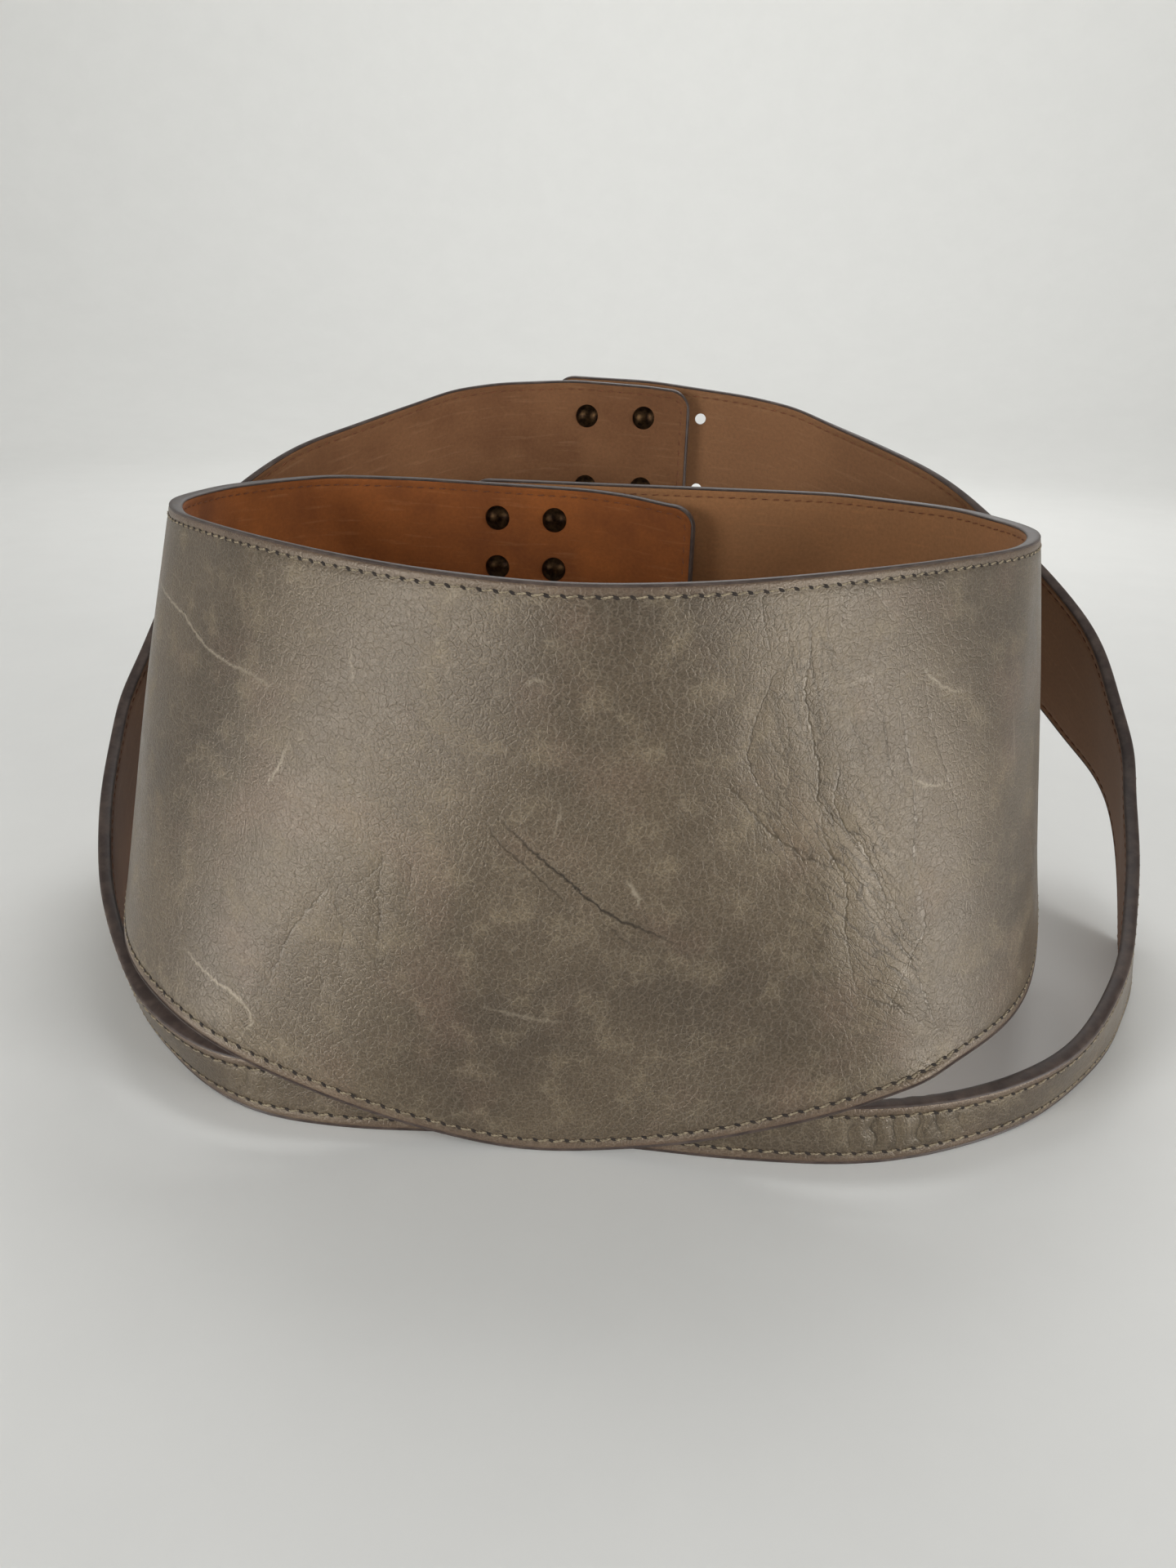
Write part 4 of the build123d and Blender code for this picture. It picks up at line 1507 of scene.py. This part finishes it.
HIP_LEFT_SIDE: list[Row] = [
    (27.0, -114.2, 17.0, 27.0, -117.5, 0.0),
    (52.0, -115.2, 17.0, 52.0, -118.5, 0.0),
    (74.0, -114.0, 16.5, 74.0, -116.0, 0.0),
    (93.0, -109.0, 16.0, 93.0, -106.5, 0.0),
    (113.0, -97.5, 18.0, 114.0, -89.0, 0.0),
    (128.0, -82.0, 22.0, 130.0, -70.0, 0.0),
    (142.0, -62.0, 29.0, 146.0, -48.0, 0.0),
    (156.0, -36.0, 41.0, 163.0, -20.0, 0.0),
    (165.5, -4.0, 57.0, 174.0, 10.0, 0.0),
    (169.0, 30.0, 80.0, 178.0, 52.0, 38.0),
    (167.0, 56.0, 100.0, 172.0, 78.0, 54.0),
    (157.0, 88.0, 128.0, 160.0, 100.0, 76.0),
    (136.0, 106.0, 146.0, 138.0, 111.0, 94.0),
    (106.0, 118.0, 158.5, 106.0, 120.0, 106.0),
]


@dataclass(frozen=True)
class WaistBand:
    """Front panel with its inner tab and outer strap."""
    left: BendLine = BendLine(-90.0, 66.0, -5.0, 144.0, 98.5)
    right: BendLine = BendLine(72.0, 71.4, 5.0, 144.0, 98.5)
    inner_y: float = 67.0
    tab: float = 45.0
    pitch: float = 21.0
    first_stud: float = -41.0
    rows: tuple[float, float] = (131.0, 113.0)

    def stations(self) -> list[Row]:
        """Every station from the tab's tip to the strap's end."""
        flat = self.inner_y
        outer = flat + LAP_GAP + WALL
        tab = [upright(31.7, flat - 6.8, 138.5, 101.5), upright(24.0, flat - 4.6, 138.5, 101.5),
               upright(9.0, flat - 1.6, 141.0, 99.5), upright(-8.0, flat, 142.5, 98.8),
               upright(-70.0, flat, 144.0, 99.0), self.left.station(-5.0)]
        panel = [self.left.station(8.8)] + mirrored(WAIST_HALF[1:]) + WAIST_HALF
        panel += [(97.0, 62.0, 144.0, 100.0, 61.5, 92.0), self.right.station(-8.8)]
        strap = [self.right.station(5.0), upright(52.0, outer, 144.0, 99.0),
                 upright(-53.0, outer, 144.0, 144.0 - self.tab)]
        return subdivided(tab, 8.0) + panel + subdivided(strap, 8.0)

    def marks(self) -> list[Mark]:
        """Folds and scratches of the front wall, X and Z."""
        fold, beside, scratch = MarkKind.FOLD, MarkKind.FOLD_BESIDE, MarkKind.SCRATCH
        return [
            # The one long crease across the middle, with a lesser one under it.
            Mark(((-14, 88), (-4, 79), (6, 71), (14, 65), (24, 61), (32, 58)), fold, 1.0, 0.35, 1.8),
            Mark(((-17, 87), (-12, 80), (-4, 74), (5, 66)), beside, 0.6, 0.2, 1.4),
            Mark(((11, 64), (17, 60), (22, 56)), beside, 0.45, 0.15, 1.2),
            # Folds that fall from the rim on the right.
            Mark(((57, 140), (58, 134), (59, 126), (58, 119), (59, 113), (61, 107), (63, 100),
                  (63, 93), (66, 89), (72, 83), (77, 78), (80, 71), (82, 66)),
                 fold, 0.8, 0.55, 2.4),
            Mark(((62, 134), (63, 130), (65, 126), (66, 122)), beside, 0.5, 0.3, 1.8),
            Mark(((68, 141), (67, 136), (66, 130)), fold, 0.4, 0.2, 1.6),
            Mark(((54, 125), (50, 122), (48, 116), (46, 110), (45, 103), (48, 97), (52, 92),
                  (55, 89)), beside, 0.6, 0.4, 2.0),
            Mark(((40, 98), (45, 93), (50, 87), (55, 83), (61, 79), (67, 77)),
                 fold, 0.75, 0.4, 2.0),
            Mark(((74, 120), (76, 115), (79, 110), (80, 105), (81, 99), (84, 94), (87, 92)),
                 beside, 0.6, 0.3, 2.0),
            Mark(((82, 116), (84, 109), (86, 101), (88, 94), (89, 85), (89, 76), (90, 69), (92, 62)),
                 fold, 0.6, 0.3, 2.0),
            Mark(((88, 123), (91, 110), (95, 100), (98, 92), (102, 81), (107, 72)),
                 beside, 0.3, 0.12, 2.0),
            Mark(((69, 113), (71, 108), (76, 102), (80, 97)), fold, 0.5, 0.2, 1.6),
            Mark(((67, 104), (68, 99), (67, 92), (70, 86), (75, 81), (79, 74), (83, 66)),
                 beside, 0.7, 0.4, 1.9),
            Mark(((64, 90), (65, 84), (68, 79), (71, 74), (72, 69), (72, 62), (73, 57), (75, 51),
                  (76, 47)), fold, 0.7, 0.45, 2.2),
            Mark(((46, 141), (47, 134), (49, 127)), fold, 0.35, 0.15, 1.5),
            Mark(((73, 141), (78, 135), (80, 131)), beside, 0.35, 0.15, 1.5),
            Mark(((76, 72), (80, 66), (85, 60), (89, 54), (92, 48), (96, 39), (99, 35)),
                 beside, 0.8, 0.5, 2.2),
            Mark(((89, 75), (92, 67), (93, 60), (90, 56), (86, 48), (84, 42), (84, 38)),
                 fold, 0.6, 0.35, 2.0),
            Mark(((79, 77), (82, 71), (85, 66), (88, 59)), fold, 0.5, 0.25, 1.6),
            Mark(((84, 45), (90, 41), (97, 36)), beside, 0.4, 0.2, 1.5),
            # Folds on the left, under the broad shine.
            Mark(((-53, 71), (-57, 64), (-62, 58), (-66, 53), (-68, 48), (-71, 41), (-73, 38)),
                 fold, 0.5, 0.3, 1.8),
            Mark(((-42, 79), (-42, 72), (-43, 66), (-42, 60), (-43, 53), (-42, 47)),
                 beside, 0.5, 0.3, 1.8),
            Mark(((-51, 66), (-44, 70), (-40, 76)), fold, 0.4, 0.2, 1.5),
            Mark(((-53, 69), (-54, 62), (-51, 56), (-53, 49), (-52, 42)), beside, 0.4, 0.25, 1.7),
            Mark(((-58, 48), (-57, 42), (-58, 36)), fold, 0.3, 0.15, 1.5),
            Mark(((-38, 78), (-34, 73), (-35, 66)), fold, 0.35, 0.15, 1.5),
            # Two nicks in the hide, close above the stitching.
            Mark(((-57, 16.8), (-55.4, 15.9)), fold, 1.0),
            Mark(((-48.4, 14.6), (-46.8, 13.4)), fold, 1.0),
            # Scratches.
            Mark(((-128, 126), (-108, 120), (-98, 115), (-89, 113), (-80, 112), (-74, 110)),
                 scratch, 0.75),
            Mark(((-97, 43), (-89, 39), (-83, 37), (-77, 34), (-75, 30), (-79, 25)), scratch, 0.9),
            Mark(((-69, 97), (-71, 92), (-74, 87)), scratch, 0.8),
            Mark(((-52, 124), (-51, 115)), scratch, 0.4),
            Mark(((88, 121), (92, 117), (97, 114), (102, 113)), scratch, 0.9),
            Mark(((87, 96), (91, 93), (97, 92)), scratch, 0.7),
            Mark(((118, 105), (119, 90)), scratch, 0.4),
            Mark(((-7, 119), (-5, 121), (-3, 120)), scratch, 0.6),
            Mark(((0, 82), (2, 92)), scratch, 0.35),
            Mark(((18, 74), (20, 71), (22, 70), (21, 67)), scratch, 0.8),
            Mark(((-17, 39), (-6, 37), (4, 36)), scratch, 0.35),
            Mark(((66, 118), (78, 121)), scratch, 0.35),
        ]

    def swells(self) -> list[Swell]:
        """Soft shapes of the front wall, those at X 98 and 94 for its crushed lower edge."""
        return [
            Swell(-45, 70, 0.8, 26, 34),
            Swell(72, 66, 1.0, 13, 22),
            Swell(86, 48, 0.9, 9, 12),
            Swell(62, 112, 0.6, 12, 22),
            Swell(98, 33, -0.7, 7, 5),
            Swell(94, 26, 1.5, 9, 4.5),
            Swell(-84, 31, 0.8, 10, 6),
        ]

    def crumples(self) -> list[Swell]:
        """Where a net of fine wrinkles shows, with its strength as the height."""
        return [
            Swell(58, 118, 0.75, 13, 26),
            Swell(74, 72, 0.95, 15, 26),
            Swell(86, 50, 0.8, 12, 14),
            Swell(55, 86, 0.5, 16, 10),
            Swell(-46, 60, 0.5, 16, 22),
            Swell(94, 27, 1.1, 11, 5),
            Swell(-80, 28, 0.6, 14, 7),
            Swell(-60, 16, 0.35, 34, 9),
        ]


@dataclass(frozen=True)
class HipBand:
    """Long strap round the hips, sewn behind the foot of the panel."""
    left: BendLine = BendLine(-72.0, 125.4, -6.0, 170.5, 116.5, -0.34)
    right: BendLine = BendLine(72.0, 130.6, 6.0, 168.0, 114.5, 0.36)
    inner_y: float = 126.5
    tab: float = 54.0
    pitch: float = 22.8
    first_stud: float = -14.2
    rows: tuple[float, float] = (163.5, 136.0)

    def stations(self) -> list[Row]:
        """Every station from the tab's tip to the strap's end."""
        flat = self.inner_y
        outer = flat + LAP_GAP + WALL
        tab = [upright(27.0, flat - 1.4, 174.5, 122.0), upright(19.0, flat - 0.8, 174.5, 122.0),
               upright(13.5, flat, 175.5, 122.5), upright(-20.0, flat, 177.0, 123.0),
               upright(-50.0, flat, 175.0, 120.5), self.left.station(-5.0)]
        front = [self.left.station(8.8)] + mirrored(HIP_LEFT_SIDE) + HIP_RIGHT_SIDE
        front += [self.right.station(-8.8)]
        strap = [self.right.station(5.0), upright(50.0, outer, 173.0, 119.5),
                 upright(10.0, outer, 177.5, 177.5 - self.tab),
                 upright(-28.0, outer, 178.5, 178.5 - self.tab)]
        return subdivided(tab, 8.0) + front + subdivided(strap, 8.0)

    def marks(self) -> list[Mark]:
        """Upright wrinkles where the strap is nipped as it leaves the panel."""
        fold, beside = MarkKind.FOLD, MarkKind.FOLD_BESIDE
        return [
            Mark(((79, 13.5), (78, 9), (78.5, 4)), beside, 0.5, 0.8, 1.4),
            Mark(((85, 14), (83.5, 10), (85.5, 7), (85, 3.5)), fold, 0.9, 1.5, 1.6),
            Mark(((90, 14), (89, 10), (90.5, 6), (89, 3)), beside, 0.7, 1.2, 1.5),
            Mark(((95, 14), (96.5, 10), (95.5, 7), (97.5, 3.5)), fold, 1.0, 1.6, 1.7),
            Mark(((100, 13.5), (101, 9.5), (103, 5)), beside, 0.7, 1.1, 1.5),
            Mark(((106, 12.5), (107, 8.5), (109.5, 5)), fold, 0.45, 0.6, 1.4),
            Mark(((-79, 13), (-80, 9), (-79, 5)), fold, 0.4, 1.0, 1.7),
            Mark(((-75, 12), (-74, 8), (-75, 5)), beside, 0.35, 0.8, 1.5),
        ]

    def crumples(self) -> list[Swell]:
        """Where a net of fine wrinkles shows, with its strength as the height."""
        return [Swell(93, 9, 0.7, 14, 9), Swell(-78, 9, 0.4, 8, 7)]

    def swells(self) -> list[Swell]:
        """None: only the waist band has soft shapes."""
        return []


def make_band(name: str, front_part: str, shape: WaistBand | HipBand,
              lining: bpy.types.Material, finishes: Finishes) -> None:
    """Makes a band with its marks, closure and studs.

    Args:
        name: "waist" or "hip".
        front_part: Name of the rigid length.
        shape: Stations, marks and closure.
        lining: Finish of the lining.
        finishes: Every other finish.
    """
    studs = (shape.first_stud, shape.first_stud + shape.pitch)
    closure = Closure(studs, (*studs, studs[1] + shape.pitch), shape.rows, shape.inner_y)
    band = Band(name, front_part, shape.stations(), (shape.left, shape.right), closure, lining,
                finishes)
    band.wall.add_marks(shape.marks(), shape.swells(), shape.crumples())
    band.build()
    dress_studs(name, finishes.brass)


def main() -> None:
    """Builds the studio and the belt."""
    logging.basicConfig(level=logging.INFO, format="%(name)s: %(message)s", stream=sys.stdout)
    studio = Studio()
    studio.camera()
    studio.build()
    finishes = Finishes()
    make_band("waist", "waist_panel", WaistBand(), finishes.waist_lining, finishes)
    make_band("hip", "hip_front", HipBand(), finishes.hip_lining, finishes)


if __name__ == "__main__":
    main()
